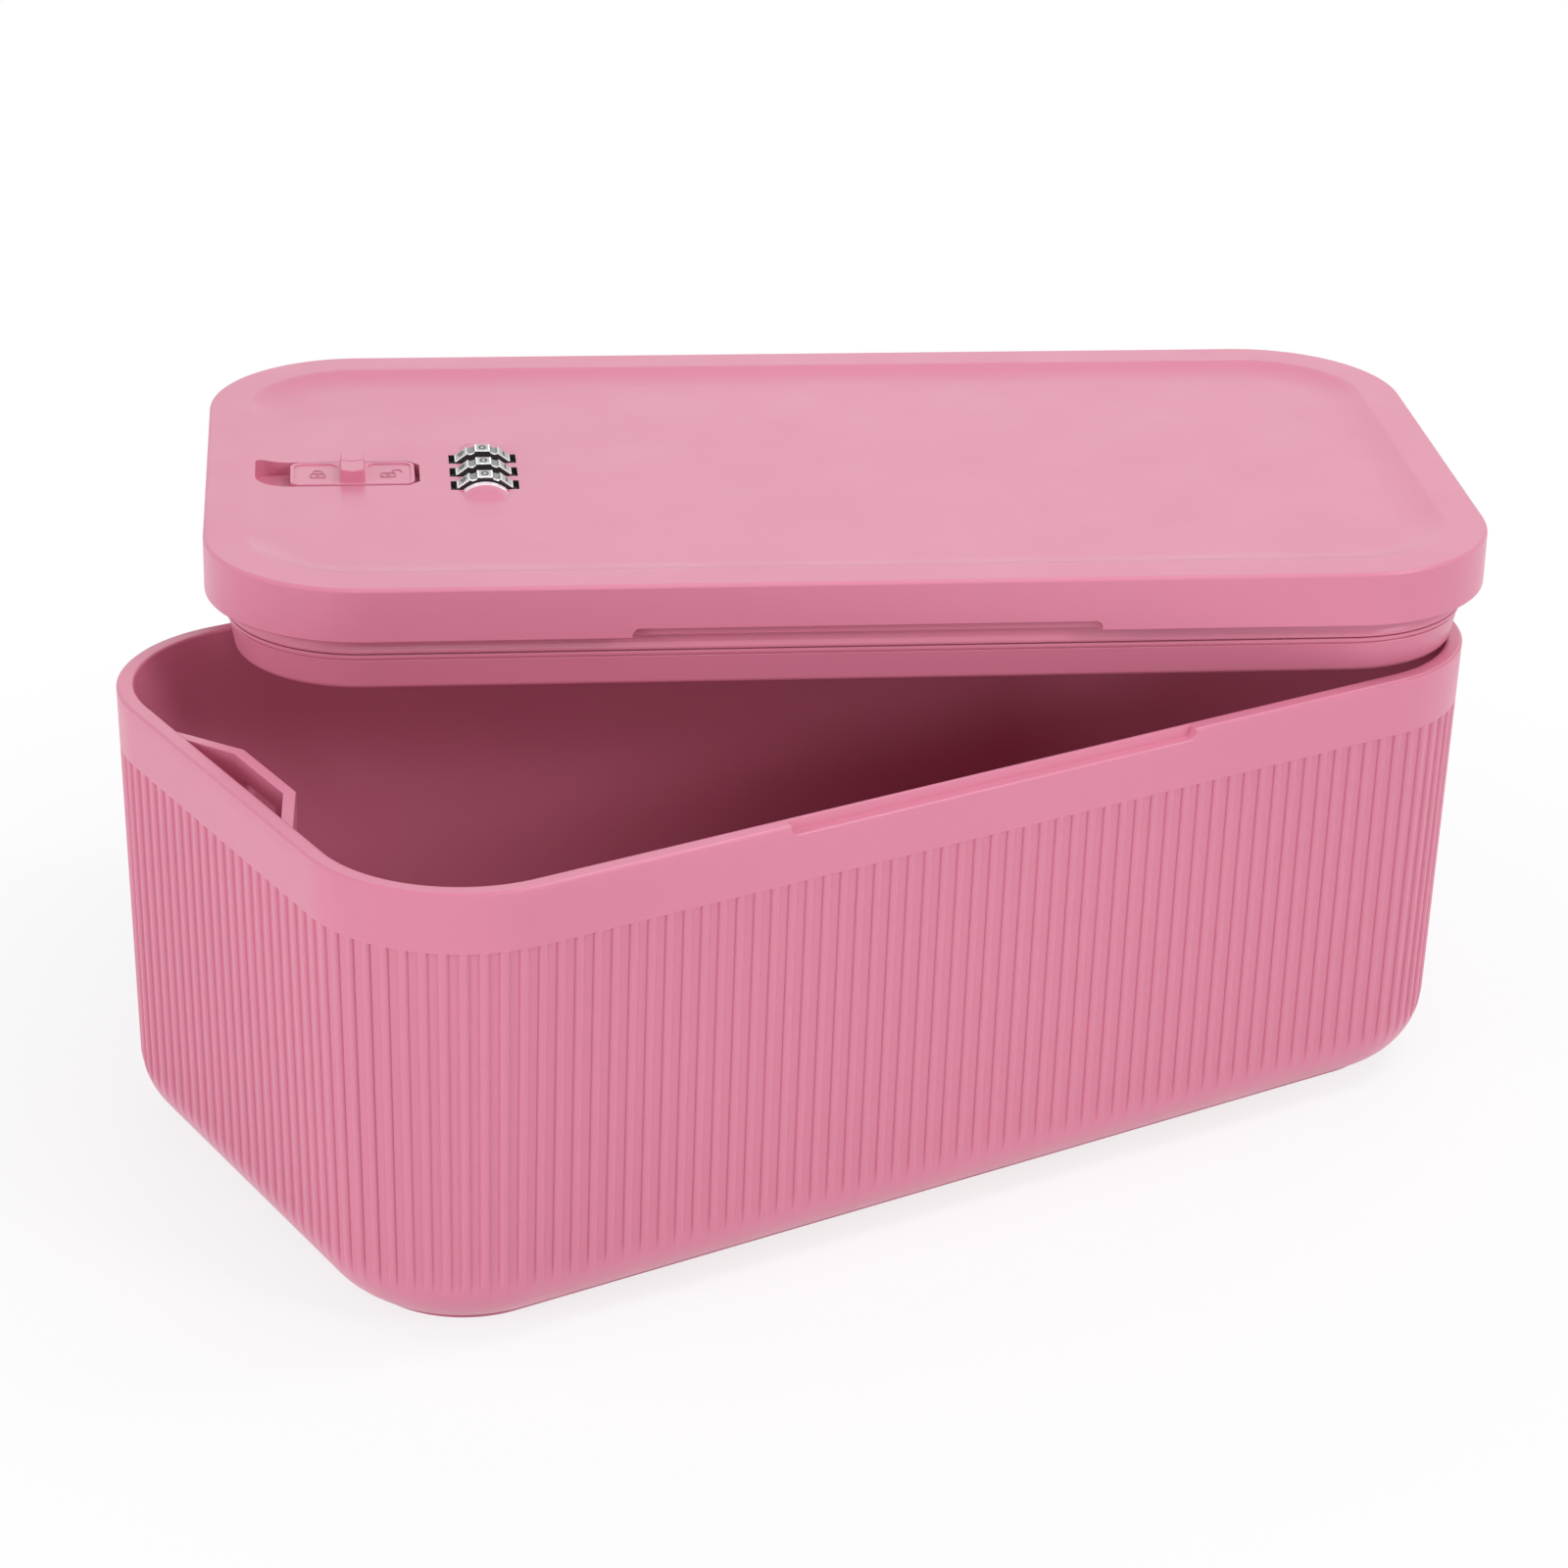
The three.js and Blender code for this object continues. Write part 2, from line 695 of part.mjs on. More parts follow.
// Bosses under the panel that take the screws, with blind pilot holes
function shellBosses() {
  const boss = ([x, y], bottom) => cut(
    post(x, y, bossRadius, bottom, bossRoot),
    post(x, y, screwPilot, bottom - overrun, panelUnder - overrun),
  );
  return [
    ...frameScrewPlaces.map((place) => boss(place, frameBossBottom)),
    ...trayScrewPlaces.map((place) => boss(place, trayBossBottom)),
  ];
}

// Slotted posts under the panel that hold the ends of the slide's leaf spring
const leafY = carriageArmHalf + fit + leafBow;
const leafBottom = carriageBottom - (leafHeight - carriageThickness) / 2;

function leafPosts() {
  return [-1, 1].map((side) => {
    const x = leafX + side * leafHalf;
    const y = leafY + leafThickness / 2;
    const body = box(
      x - postSize / 2, x + postSize / 2, y - postSize / 2 + leafBow / 2, y + postSize / 2 + leafBow / 2,
      leafBottom, bossRoot,
    );
    const slot = box(
      x - postSize, x + postSize, leafY - fit, leafY + leafThickness + fit,
      leafBottom - overrun, leafBottom + leafHeight + fit,
    );
    return cut(body, slot);
  });
}

function lidTopShell() {
  const filled = join(shellBody(), pocketRecess(shellWall, lipBottom, shellWall).intersect(
    box(-boxLength / 2 + neckInset, 0, -boxWidth, boxWidth, lipBottom, shellWall),
  ));
  const carried = join(filled, slidePan(), ...dialGuards(), ...shellBosses(), ...leafPosts());
  return cut(
    carried,
    pocketRecess(0, lipBottom - overrun, 0),
    rimCore(),
    fingerNotch(0, notchHeight),
    ...slideRecess(),
    ...dialSlots(),
  );
}

// Lid tray
function trayBody() {
  const flangeBottom = trayTop - trayFlangeHeight;
  const grooveBottom = flangeBottom - trayGrooveHeight;
  const edgeInset = trayWallInset + trayDraft;
  const section = [
    [edgeInset + trayEdge, -plugDepth],
    [edgeInset + trayEdge / 4, -plugDepth + trayEdge / 4],
    [edgeInset, -plugDepth + trayEdge],
    [trayWallInset, grooveBottom],
    [trayGrooveInset, grooveBottom],
    [trayGrooveInset, flangeBottom],
    [trayFlangeInset, flangeBottom],
    [trayFlangeInset, trayTop],
    [trayWallInset + trayWall, trayTop],
    [edgeInset + trayWall, trayFloorTop],
  ];
  return loft(section.map((point) => boxRing(point, lidCornerSteps)));
}

// The right end: a recess that clears the keeper, with a tongue that hooks under it
function keeperRecess() {
  const right = boxLength / 2;
  const keeperTip = right - binWall - keeperReach;
  const face = keeperTip - pocketClearance;
  const half = keeperHalf + pocketClearance;
  const shelf = -keeperTop - keeperThickness - fit;
  const backing = box(
    face - trayWall, right - trayWallInset - trayDraft, -half - trayWall, half + trayWall,
    trayFloorTop - trayFloor / 2, trayTop,
  );
  const opening = box(face, right, -half, half, shelf, trayTop + overrun);
  const tongueTop = shelf - fit;
  const tongue = box(
    face, right - tongueInset, -tongueHalf, tongueHalf, tongueTop - tongueThickness, tongueTop,
  );
  return { backing, opening, tongue };
}

function lidTray() {
  const keeper = keeperRecess();
  const recess = pocketRecess(trayWall, -plugDepth, trayTop).intersect(
    box(-boxLength / 2 + trayWallInset + trayDraft, 0, -boxWidth, boxWidth, -plugDepth, trayTop),
  );
  const pads = trayScrewPlaces.map(([x, y]) => (
    post(x, y, trayPadRadius, trayFloorTop - trayFloor / 2, trayPadTop)
  ));
  const body = join(trayBody(), recess, keeper.backing, ...pads);
  const faceX = -boxLength / 2 + pocketFace + pocketClearance;
  const port = box(
    faceX - overrun, faceX + trayWall + overrun,
    -boltHalf - boltClearance, boltHalf + boltClearance,
    boltBottom - boltClearance, boltTop + boltClearance,
  );
  const screwHoles = trayScrewPlaces.flatMap(([x, y]) => [
    post(x, y, screwHeadRadius + fit, -plugDepth - overrun, -plugDepth + counterboreDepth),
    post(x, y, screwPilot, -plugDepth - overrun, trayPadTop + overrun),
  ]);
  const opened = cut(
    body,
    pocketRecess(0, -plugDepth - overrun, trayTop + overrun),
    keeper.opening,
    port,
    ...screwHoles,
    post(dialX, resetY, resetCapRadius + fit, -plugDepth - overrun, trayFloorTop + overrun),
  );
  return join(opened, keeper.tongue);
}

// Slide button: pads, thumb bar and the blade that is screwed to the bolt carriage
function slideButton() {
  const top = panelTop - buttonSink;
  const left = buttonLeft;
  const right = buttonRight;
  const thumb0 = buttonMiddle - thumbLength / 2;
  const thumb1 = buttonMiddle + thumbLength / 2;
  const body = prismZ(
    roundedRectangle(left, right, -buttonHalf, buttonHalf, buttonCorner),
    slotFloorTop + fit, top,
  );
  const padHalf = buttonHalf - buttonBorder;
  const pad = (x0, x1) => prismZ(
    roundedRectangle(x0, x1, -padHalf, padHalf, buttonCorner - buttonBorder / 2),
    top - padSink, top + overrun,
  );
  const blade = cut(
    box(
      buttonMiddle - bladeLength / 2, buttonMiddle + bladeLength / 2, -bladeHalf, bladeHalf,
      carriageTop + fit, slotFloorTop + overrun,
    ),
    ...bladeScrewX.map((x) => post(x, 0, screwPilot, carriageTop, carriageTop + buttonScrewLength)),
  );
  const thumbTop = panelTop + thumbRise;
  const saddle = new THREE.Shape();
  saddle.moveTo(thumb0 - thumbDip, top - padSink - fit);
  saddle.lineTo(thumb1 + thumbDip, top - padSink - fit);
  saddle.lineTo(thumb1, thumbTop - thumbDip);
  saddle.lineTo(thumb1 - thumbDip, thumbTop);
  saddle.quadraticCurveTo(buttonMiddle, thumbTop - 2 * thumbDip, thumb0 + thumbDip, thumbTop);
  saddle.lineTo(thumb0, thumbTop - thumbDip);
  const leftPad = pad(left + buttonBorder, thumb0 - buttonBorder);
  const rightPad = pad(thumb1 + buttonBorder, right - buttonBorder);
  return join(cut(body, leftPad, rightPad), prismY(saddle, -thumbHalf, thumbHalf), blade);
}

// Bolt carriage: an arm with a tower round the button's blade, the bolt in front and a tooth for each cam
const toothX = dialX + slideTravel / 2;
const camSide = (y) => y + dialWidth / 2 + fit + camThickness / 2;

function boltCarriage() {
  const armRear = dialX - guidePlateHalf - fit;
  const tail = dialX + carriageTail;
  const plan = outline([
    [riserFront, -carriageArmHalf],
    [armRear, -carriageArmHalf],
    [armRear, -cheekInner + fit],
    [tail, -cheekInner + fit],
    [tail, cheekInner - fit],
    [armRear, cheekInner - fit],
    [armRear, carriageArmHalf],
    [riserFront, carriageArmHalf],
  ]);
  const arm = prismZ(plan, carriageBottom, carriageTop);
  const boltSection = outline([
    [boltTip, boltBottom],
    [riserFront + riserLength, boltBottom],
    [riserFront + riserLength, carriageTop],
    [riserFront, carriageTop],
    [riserFront, boltTop],
    [boltTip + boltThickness / 4, boltTop],
    [boltTip, boltTop - boltThickness / 4],
  ]);
  const bolt = prismY(boltSection, -boltHalf, boltHalf);
  const teeth = dialPlaces.map((y) => box(
    toothX - toothThickness / 2, toothX + toothThickness / 2,
    camSide(y) - toothWidth / 2, camSide(y) + toothWidth / 2,
    carriageBottom, toothTop,
  ));
  const towerHole = bladeLength / 2 + fit;
  const tower = cut(
    box(
      buttonMiddle - towerHole - towerWall, buttonMiddle + towerHole + towerWall,
      -bladeHalf - fit - towerWall, bladeHalf + fit + towerWall,
      carriageBottom, slotFloorUnder - fit,
    ),
    box(
      buttonMiddle - towerHole, buttonMiddle + towerHole, -bladeHalf - fit, bladeHalf + fit,
      carriageTop, slotFloorUnder + overrun,
    ),
  );
  const holes = bladeScrewX.map((x) => (
    post(x, 0, screwPilot, carriageBottom - overrun, carriageTop + overrun)
  ));
  const detents = [0, slideTravel].map((shift) => prismZ(
    outline([
      [leafX + shift - leafTip, carriageArmHalf + overrun],
      [leafX + shift, carriageArmHalf - leafTip],
      [leafX + shift + leafTip, carriageArmHalf + overrun],
    ]),
    carriageBottom - overrun, carriageTop + overrun,
  ));
  return cut(join(arm, bolt, tower, ...teeth), ...holes, ...detents);
}

// Number dial: ten flat lands for the digits, and a bore with a keyway for each digit
function numberDial(y) {
  const share = (2 * Math.PI) / dialDigits;
  const land = Math.asin(dialLand / 2 / dialRadius);
  const valley = Math.asin(dialValleyFloor / 2 / dialRadius);
  const keyway = Math.asin((keyWidth / 2 + fit) / dialBore);
  const shape = new THREE.Shape();
  const bore = new THREE.Path();
  const at = (radius, angle) => [-radius * Math.sin(angle), radius * Math.cos(angle)];
  const outer = [];
  const inner = [];
  for (let i = 0; i < dialDigits; i++) {
    const digit = i * share;
    outer.push(at(dialRadius, digit - land), at(dialRadius, digit + land));
    outer.push(at(dialRadius - dialValleyDepth, digit + share / 2 - valley));
    outer.push(at(dialRadius - dialValleyDepth, digit + share / 2 + valley));
    inner.push(at(dialBore, digit - keyway), at(dialBore + keywayDepth, digit - keyway));
    inner.push(at(dialBore + keywayDepth, digit + keyway), at(dialBore, digit + keyway));
  }
  shape.setFromPoints(outer.map(([a, b]) => new THREE.Vector2(a, b)));
  bore.setFromPoints(inner.map(([a, b]) => new THREE.Vector2(a, b)));
  shape.holes.push(bore);
  return prismY(shape, y - dialWidth / 2, y + dialWidth / 2).translate([dialX, 0, axisZ]);
}

// Code cam: a keyed sleeve in the dial's bore and a disc whose flat lets a fence tooth pass
function codeCam(y) {
  const disc0 = y + dialWidth / 2 + fit;
  const disc1 = disc0 + camThickness;
  const gate = axisZ - camRadius + fenceOverlap + fit;
  const sleeve = axle(dialBore - fit, y - dialWidth / 2, disc0 + camThickness / 2);
  const key = box(
    dialX - keyWidth / 2, dialX + keyWidth / 2, y - dialWidth / 2, y + dialWidth / 2,
    axisZ, axisZ + dialBore + keywayDepth - fit,
  );
  const flat = box(
    dialX - camRadius, dialX + camRadius, disc0 - overrun, disc1 + overrun, axisZ - camRadius, gate,
  );
  const disc = cut(axle(camRadius, disc0, disc1), flat);
  return cut(join(sleeve, key, disc), axle(spindleRadius + fit, y - dialWidth, disc1 + overrun));
}

// Spindle with its head behind the rear cheek and a clip groove in front of the front one
const clipBack = -cheekOuter - fit;
const clipFront = clipBack - clipThickness;

function dialSpindle() {
  const head0 = cheekOuter + fit;
  const head = axle(spindleHeadRadius, head0, head0 + spindleHeadThickness);
  const shaft = axle(spindleRadius, clipFront - fit - spindleEnd, head0 + spindleHeadThickness / 2);
  const groove = cut(
    axle(spindleRadius + overrun, clipFront - fit, clipBack + fit / 2),
    axle(clipGrooveRadius, clipFront - overrun, clipBack + overrun),
  );
  return join(cut(shaft, groove), head);
}

function spindleClip() {
  const mouth = Math.PI / 5;
  const shape = new THREE.Shape();
  shape.absarc(0, 0, clipRadius, mouth, 2 * Math.PI - mouth);
  shape.absarc(0, 0, clipGrooveRadius + fit, 2 * Math.PI - mouth, mouth, true);
  return prismY(shape, clipFront, clipBack).translate([dialX, 0, axisZ]);
}

// Lock frame: two cheeks for the spindle, rails between them, screw lugs and the reset button's bracket
const guideScrewPlaces = [[dialX - guideBossX, -guideBossY], [dialX + guideBossX, guideBossY]];

function lockFrame() {
  const left = dialX - frameHalf;
  const right = dialX + frameHalf;
  const top = panelUnder - fit;
  const bottom = carriageBottom;
  const cheekShape = outline([
    [left, railBottom], [left + lugReach, bottom], [right - lugReach, bottom], [right, railBottom],
    [right, railTop], [dialX + camRadius, top], [dialX - camRadius, top], [left, railTop],
  ]);
  const cheeks = [prismY(cheekShape, -cheekOuter, -cheekInner), prismY(cheekShape, cheekInner, cheekOuter)];
  const rails = [
    box(left, left + railThickness, -cheekOuter, cheekOuter, railBottom, railTop),
    box(right - railThickness, right, -cheekOuter, cheekOuter, railBottom, railTop),
  ];
  const lugBottom = lugTop - lugThickness;
  const lugs = frameScrewPlaces.flatMap(([x, y]) => {
    const inner = x < dialX ? left + overrun : right - overrun;
    return [
      post(x, y, lugRadius, lugBottom, lugTop),
      box(Math.min(x, inner), Math.max(x, inner), y - lugRadius, y + lugRadius, lugBottom, lugTop),
    ];
  });
  const guideBosses = guideScrewPlaces.flatMap(([x, y]) => {
    const wall = Math.sign(y) * (cheekOuter - overrun);
    return [
      post(x, y, guideBossRadius, bottom, bottom + guideBossHeight),
      box(
        x - guideBossRadius, x + guideBossRadius, Math.min(wall, y), Math.max(wall, y),
        bottom, bottom + guideBossHeight,
      ),
    ];
  });
  const bracket = prismZ(
    roundedRectangle(
      dialX - bracketHalf, dialX + bracketHalf, resetY - bracketHalf, -cheekInner - overrun, bracketHalf / 2,
    ),
    bracketTop - bracketThickness, bracketTop,
  );
  return cut(
    join(...cheeks, ...rails, ...lugs, ...guideBosses, bracket),
    axle(spindleRadius + fit, -cheekOuter - overrun, cheekOuter + overrun),
    ...frameScrewPlaces.map(([x, y]) => post(x, y, screwPilot, lugBottom - overrun, lugTop + overrun)),
    ...guideScrewPlaces.map(([x, y]) => post(x, y, screwPilot, bottom - overrun, bottom + guideScrewLength)),
    post(dialX, resetY, resetStemRadius + fit, bracketTop - bracketThickness - overrun, bracketTop + overrun),
  );
}

function boltGuidePlate() {
  const plan = roundedRectangle(
    dialX - guidePlateHalf, dialX + guidePlateHalf, -guidePlateY, guidePlateY, lugRadius,
  );
  return cut(
    prismZ(plan, guideBottom, guideTop),
    ...guideScrewPlaces.map(([x, y]) => post(x, y, screwPilot, guideBottom - overrun, guideTop + overrun)),
  );
}

// Leaf spring beside the carriage, whose nose rests over the carriage's two detent notches
function slideDetentSpring() {
  const nose = carriageArmHalf + fit;
  const shoulder = leafHalf / 4;
  const shape = outline([
    [leafX - leafHalf - postSize / 4, leafY],
    [leafX - shoulder, leafY],
    [leafX, nose],
    [leafX + shoulder, leafY],
    [leafX + leafHalf + postSize / 4, leafY],
    [leafX + leafHalf + postSize / 4, leafY + leafThickness],
    [leafX + shoulder - leafThickness / 2, leafY + leafThickness],
    [leafX, nose + leafThickness * 1.5],
    [leafX - shoulder + leafThickness / 2, leafY + leafThickness],
    [leafX - leafHalf - postSize / 4, leafY + leafThickness],
  ]);
  return prismZ(shape, leafBottom, leafBottom + leafHeight);
}

// Comb spring on the right rail, with a beaded finger for each dial
function dialDetentSpring() {
  const back = dialX + frameHalf - railThickness - fit;
  const face = back - leafThickness;
  const beadZ = combTop - combReach + combBead;
  const ringX = dialX + Math.sqrt((dialRadius + fit) ** 2 - (axisZ - beadZ) ** 2);
  const spine = box(
    face, back,
    dialPlaces[0] - combFinger / 2, dialPlaces.at(-1) + combFinger / 2,
    combTop - combSpine, combTop,
  );
  const fingerShape = outline([
    [back, combTop],
    [face, combTop],
    [face, beadZ + combBead],
    [ringX, beadZ],
    [face, beadZ - combBead],
    [back, beadZ - combBead],
    [back, beadZ - combBead + leafThickness],
    [ringX + leafThickness * 1.5, beadZ],
    [back, beadZ + combBead - leafThickness],
  ]);
  const fingers = dialPlaces.map((y) => prismY(fingerShape, y - combFinger / 2, y + combFinger / 2));
  return join(spine, ...fingers);
}

// A coil spring along +Z from z = 0, one wire wound at a steady rate
class Coil extends THREE.Curve {
  constructor(radius, length, turns) {
    super();
    this.radius = radius;
    this.length = length;
    this.turns = turns;
  }

  getPoint(share) {
    const angle = share * this.turns * 2 * Math.PI;
    const across = new THREE.Vector2(Math.cos(angle), Math.sin(angle)).multiplyScalar(this.radius);
    return new THREE.Vector3(across.x, across.y, this.length * share);
  }
}

function coilSpring(radius, wire, turns, z0, z1) {
  const path = new Coil(radius, z1 - z0 - 2 * wire, turns);
  const section = new THREE.Shape(Array.from({ length: coilSides }, (_, i) => {
    const angle = (i * 2 * Math.PI) / coilSides;
    return new THREE.Vector2(wire * Math.cos(angle), wire * Math.sin(angle));
  }));
  const geometry = new THREE.ExtrudeGeometry(section, { steps: coilSteps * turns, extrudePath: path });
  return solid(geometry.translate(0, 0, z0 + wire));
}

function clutchSpring() {
  const start = camSide(dialPlaces.at(-1)) + camThickness / 2 + fit;
  const coil = coilSpring(clutchRadius, clutchWire, clutchTurns, start, cheekInner - fit);
  return coil.rotate([-90, 0, 0]).translate([dialX, 0, axisZ]);
}

// Reset button: cap in the tray's floor, collar, stem and the wedge that pushes the spindle's end
const resetCollarBottom = trayFloorTop + fit;
const resetCollarTop = resetCollarBottom + resetCollarThickness;
const resetBracketBottom = bracketTop - bracketThickness;

function resetButton() {
  const spindleTip = clipFront - fit - spindleEnd;
  const nose = spindleTip - resetNoseGap;
  const wedgeBottom = bracketTop + fit;
  const wedgeTop = wedgeBottom + resetWedgeRise;
  const slopeSum = spindleTip - fit - resetTravel + axisZ - spindleRadius;
  const wedge = prismX(outline([
    [resetY - resetWedgeBack, wedgeBottom],
    [nose, wedgeBottom],
    [nose, slopeSum - nose],
    [slopeSum - wedgeTop, wedgeTop],
    [resetY - resetWedgeBack, wedgeTop],
  ]), dialX - resetWedgeHalf, dialX + resetWedgeHalf);
  return join(
    post(dialX, resetY, resetCapRadius, -plugDepth + fit, resetCollarTop),
    post(dialX, resetY, resetCollarRadius, resetCollarBottom, resetCollarTop),
    post(dialX, resetY, resetStemRadius, resetCollarBottom, wedgeBottom + overrun),
    wedge,
  );
}

function resetSpring() {
  const coil = coilSpring(resetRadius, resetWire, resetTurns, resetCollarTop + fit, resetBracketBottom - fit);
  return coil.translate([dialX, resetY, 0]);
}

// A pan-head screw driven upwards, with the underside of its head at z
function screw([x, y], z, length) {
  const head = screwHeadRadius;
  const points = [
    [0, -screwHead], [head, -screwHead / 2], [head, 0],
    [screwRadius, 0], [screwRadius, length - screwRadius], [0, length],
  ].map(([radius, height]) => new THREE.Vector2(radius, height));
  const geometry = new THREE.LatheGeometry(points, screwSteps);
  return solid(geometry.rotateX(Math.PI / 2)).translate([x, y, z]);
}

// Materials
const shellPlastic = new THREE.MeshStandardMaterial({ color: "#e59cb2", roughness: 0.42, metalness: 0 });
const framePlastic = new THREE.MeshStandardMaterial({ color: "#26262a", roughness: 0.55, metalness: 0 });
const dialMetal = new THREE.MeshStandardMaterial({ color: "#c9cbc8", roughness: 0.32, metalness: 0.85 });
const steel = new THREE.MeshStandardMaterial({ color: "#b3b5b8", roughness: 0.3, metalness: 1 });
const brass = new THREE.MeshStandardMaterial({ color: "#c8a552", roughness: 0.35, metalness: 1 });

function piece(name, body, material) {
  const { vertProperties, triVerts } = body.getMesh();
  const geometry = new THREE.BufferGeometry();
  geometry.setAttribute("position", new THREE.Float32BufferAttribute(vertProperties, 3));
  geometry.setIndex(Array.from(triVerts));
  geometry.computeVertexNormals();
  const mesh = new THREE.Mesh(geometry, material);
  mesh.name = name;
  return mesh;
}

function numbered(name, places, make, material) {
  return places.map((place, i) => piece(`${name}_${i + 1}`, make(place), material));
}

// Assembly
const lid = new THREE.Group();
lid.position.set(lidPlace.x, lidPlace.y, rimHeight + plugDepth + fit);
lid.rotation.z = lidYaw;
lid.add(
  piece("lid_top_shell", lidTopShell(), shellPlastic),
  piece("lid_tray", lidTray(), shellPlastic),
  piece("slide_button", slideButton(), shellPlastic),
  piece("bolt_carriage", boltCarriage(), framePlastic),
  piece("lock_frame", lockFrame(), framePlastic),
  piece("bolt_guide_plate", boltGuidePlate(), steel),
  piece("dial_spindle", dialSpindle(), steel),
  piece("spindle_clip", spindleClip(), steel),
  piece("clutch_spring", clutchSpring(), steel),
  piece("dial_detent_spring", dialDetentSpring(), steel),
  piece("slide_detent_spring", slideDetentSpring(), steel),
  piece("reset_button", resetButton(), framePlastic),
  piece("reset_spring", resetSpring(), steel),
  ...numbered("number_dial", dialPlaces, numberDial, dialMetal),
  ...numbered("code_cam", dialPlaces, codeCam, brass),
  ...numbered("frame_screw", frameScrewPlaces, (place) => (
    screw(place, lugTop - lugThickness - fit, frameScrewLength)
  ), steel),
  ...numbered("guide_screw", guideScrewPlaces, (place) => (
    screw(place, guideBottom - fit, guideScrewLength)
  ), steel),
  ...numbered("button_screw", bladeScrewX, (x) => (
    screw([x, 0], carriageBottom - fit, buttonScrewLength)
  ), steel),
  ...numbered("tray_screw", trayScrewPlaces, (place) => (
    screw(place, -plugDepth + counterboreDepth - fit, trayScrewLength)
  ), steel),
);

const lockBox = new THREE.Group();
lockBox.add(piece("bin", bin(), shellPlastic), lid);

export default lockBox;
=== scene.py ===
import math

import bmesh
import bpy
from mathutils import Matrix, Vector


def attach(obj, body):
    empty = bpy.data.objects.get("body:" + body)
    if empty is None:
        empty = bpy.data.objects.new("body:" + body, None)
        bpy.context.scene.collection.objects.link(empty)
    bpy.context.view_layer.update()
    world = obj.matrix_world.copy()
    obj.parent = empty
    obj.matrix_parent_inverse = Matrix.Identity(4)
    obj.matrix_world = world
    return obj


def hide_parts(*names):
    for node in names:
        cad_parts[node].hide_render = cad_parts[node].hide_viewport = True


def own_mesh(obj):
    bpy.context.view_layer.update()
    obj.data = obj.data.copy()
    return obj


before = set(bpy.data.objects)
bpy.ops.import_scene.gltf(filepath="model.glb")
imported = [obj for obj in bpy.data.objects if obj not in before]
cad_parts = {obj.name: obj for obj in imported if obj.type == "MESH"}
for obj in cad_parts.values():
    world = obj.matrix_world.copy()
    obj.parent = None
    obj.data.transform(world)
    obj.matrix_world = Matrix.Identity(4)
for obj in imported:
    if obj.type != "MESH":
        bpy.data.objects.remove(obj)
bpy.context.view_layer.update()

# Sizes in millimetres, as in the CAD model. Pieces are built in millimetres, in the bin's or the lid's
# own frame, and go to metres in the row frame when they are placed. An inset is measured inwards from
# the outline, a half is half a width, and heights on the lid start at the lower side of its edge.
FIT = 0.3
LENGTH, WIDTH, CORNER = 280.0, 151.0, 34.2
CORNER_X, CORNER_Y = LENGTH / 2 - CORNER, WIDTH / 2 - CORNER
# The bin, with the smooth band under its rim
RIM, BAND, DRAFT, WALL = 101.3, 13.1, 2.4, 3.7
FOOT, FOOT_STEP, FLOOR, FILLET = 1.4, 0.9, 3.0, 16.4
RIB_PITCH, RIDGE, GROOVE = 4.1, 1.1, 0.7
# The finger notch, in the bin's rim and in the lid's edge
NOTCH, NOTCH_HEIGHT, NOTCH_DEPTH, NOTCH_CORNER = 100.0, 2.3, 2.4, 1.6
NOTCH_EDGE = 0.4
# The lid: edge and border, dished side of the panel, neck under the edge, and the tray as a plug
LID_TOP, LID_EDGE, PANEL, SHELL = 12.1, 0.9, 10.15, 2.2
PANEL_UNDER = PANEL - SHELL
BORDER, DISH = 9.4, 9.1
NECK, NECK_FOOT = 5, -4.3
TRAY_TOP, TRAY_WALL, PLUG = -4.6, 2.2, 13.1
# The dials, their windows in the panel, and the half-round guards before and behind them
DIAL_X, DIAL_PITCH, DIAL_R, DIAL_W = -78.4, 8.5, 8.4, 4.4
DIAL_PLACES = (-DIAL_PITCH, 0, DIAL_PITCH)
BORE_R, KEYWAY_R, KEYWAY_HALF = 4.4, 5.4, 0.9
LAND_HALF, VALLEY_HALF, VALLEY_DEPTH = 1.7, 0.55, 0.45
DIGIT_SIZE, DIGIT_DEPTH, DIGIT_WEIGHT = 3.6, 0.03, 0.07
AXIS_DEPTH, GUARD_R = 5.4, 7.35
AXIS_Z = PANEL - AXIS_DEPTH
DIAL_FLAT = DIAL_R * math.cos(math.asin(LAND_HALF / DIAL_R))
WINDOW_HALF_X, WINDOW_HALF_Y = 7.55, 2.8
# The slide button and its recess
BUTTON_X0, BUTTON_X1, BUTTON_HALF, BUTTON_CORNER = -121.5, -93.8, 7.1, 2.4
BUTTON_TOP = PANEL + 0.2
PAD_MARGIN, PAD_DEPTH, PAD_CORNER = 0.9, 0.32, 1.95
THUMB_HALF_X, THUMB_HALF_Y, THUMB_RISE, THUMB_EDGE, THUMB_HOLLOW = 2.55, 5.65, 3.1, 0.35, 0.35
BLADE_HALF_X, BLADE_HALF_Y, BLADE_FOOT = 5.9, 2.6, -4.3
SLOT_X0, SLOT_X1, SLOT_HALF, SLOT_FLOOR = -129.2, -92.7, 7.75, 7.15
GAP_X0, GAP_X1, GAP_HALF = -120.85, -101.45, 2.9  # for the blade, through the recess's floor
LOCKED_SIGN_X, OPEN_SIGN_X = -115.4, -99.7
SIGN_WIDTH = 0.36
# The latch pocket inside the bin's left wall, and the keeper ledge inside its right wall
POCKET_FACE, POCKET_FACE_HALF, POCKET_ROOT_HALF, POCKET_WALL = 12.2, 12.0, 28.0, 2.6
POCKET_DEPTH = 18
BOLT_WINDOW_HALF, BOLT_WINDOW_LOW, BOLT_WINDOW_TOP = 7.5, 10.9, 5.3  # in its face, down from the rim
KEEPER_REACH, KEEPER_HALF = 3, 18
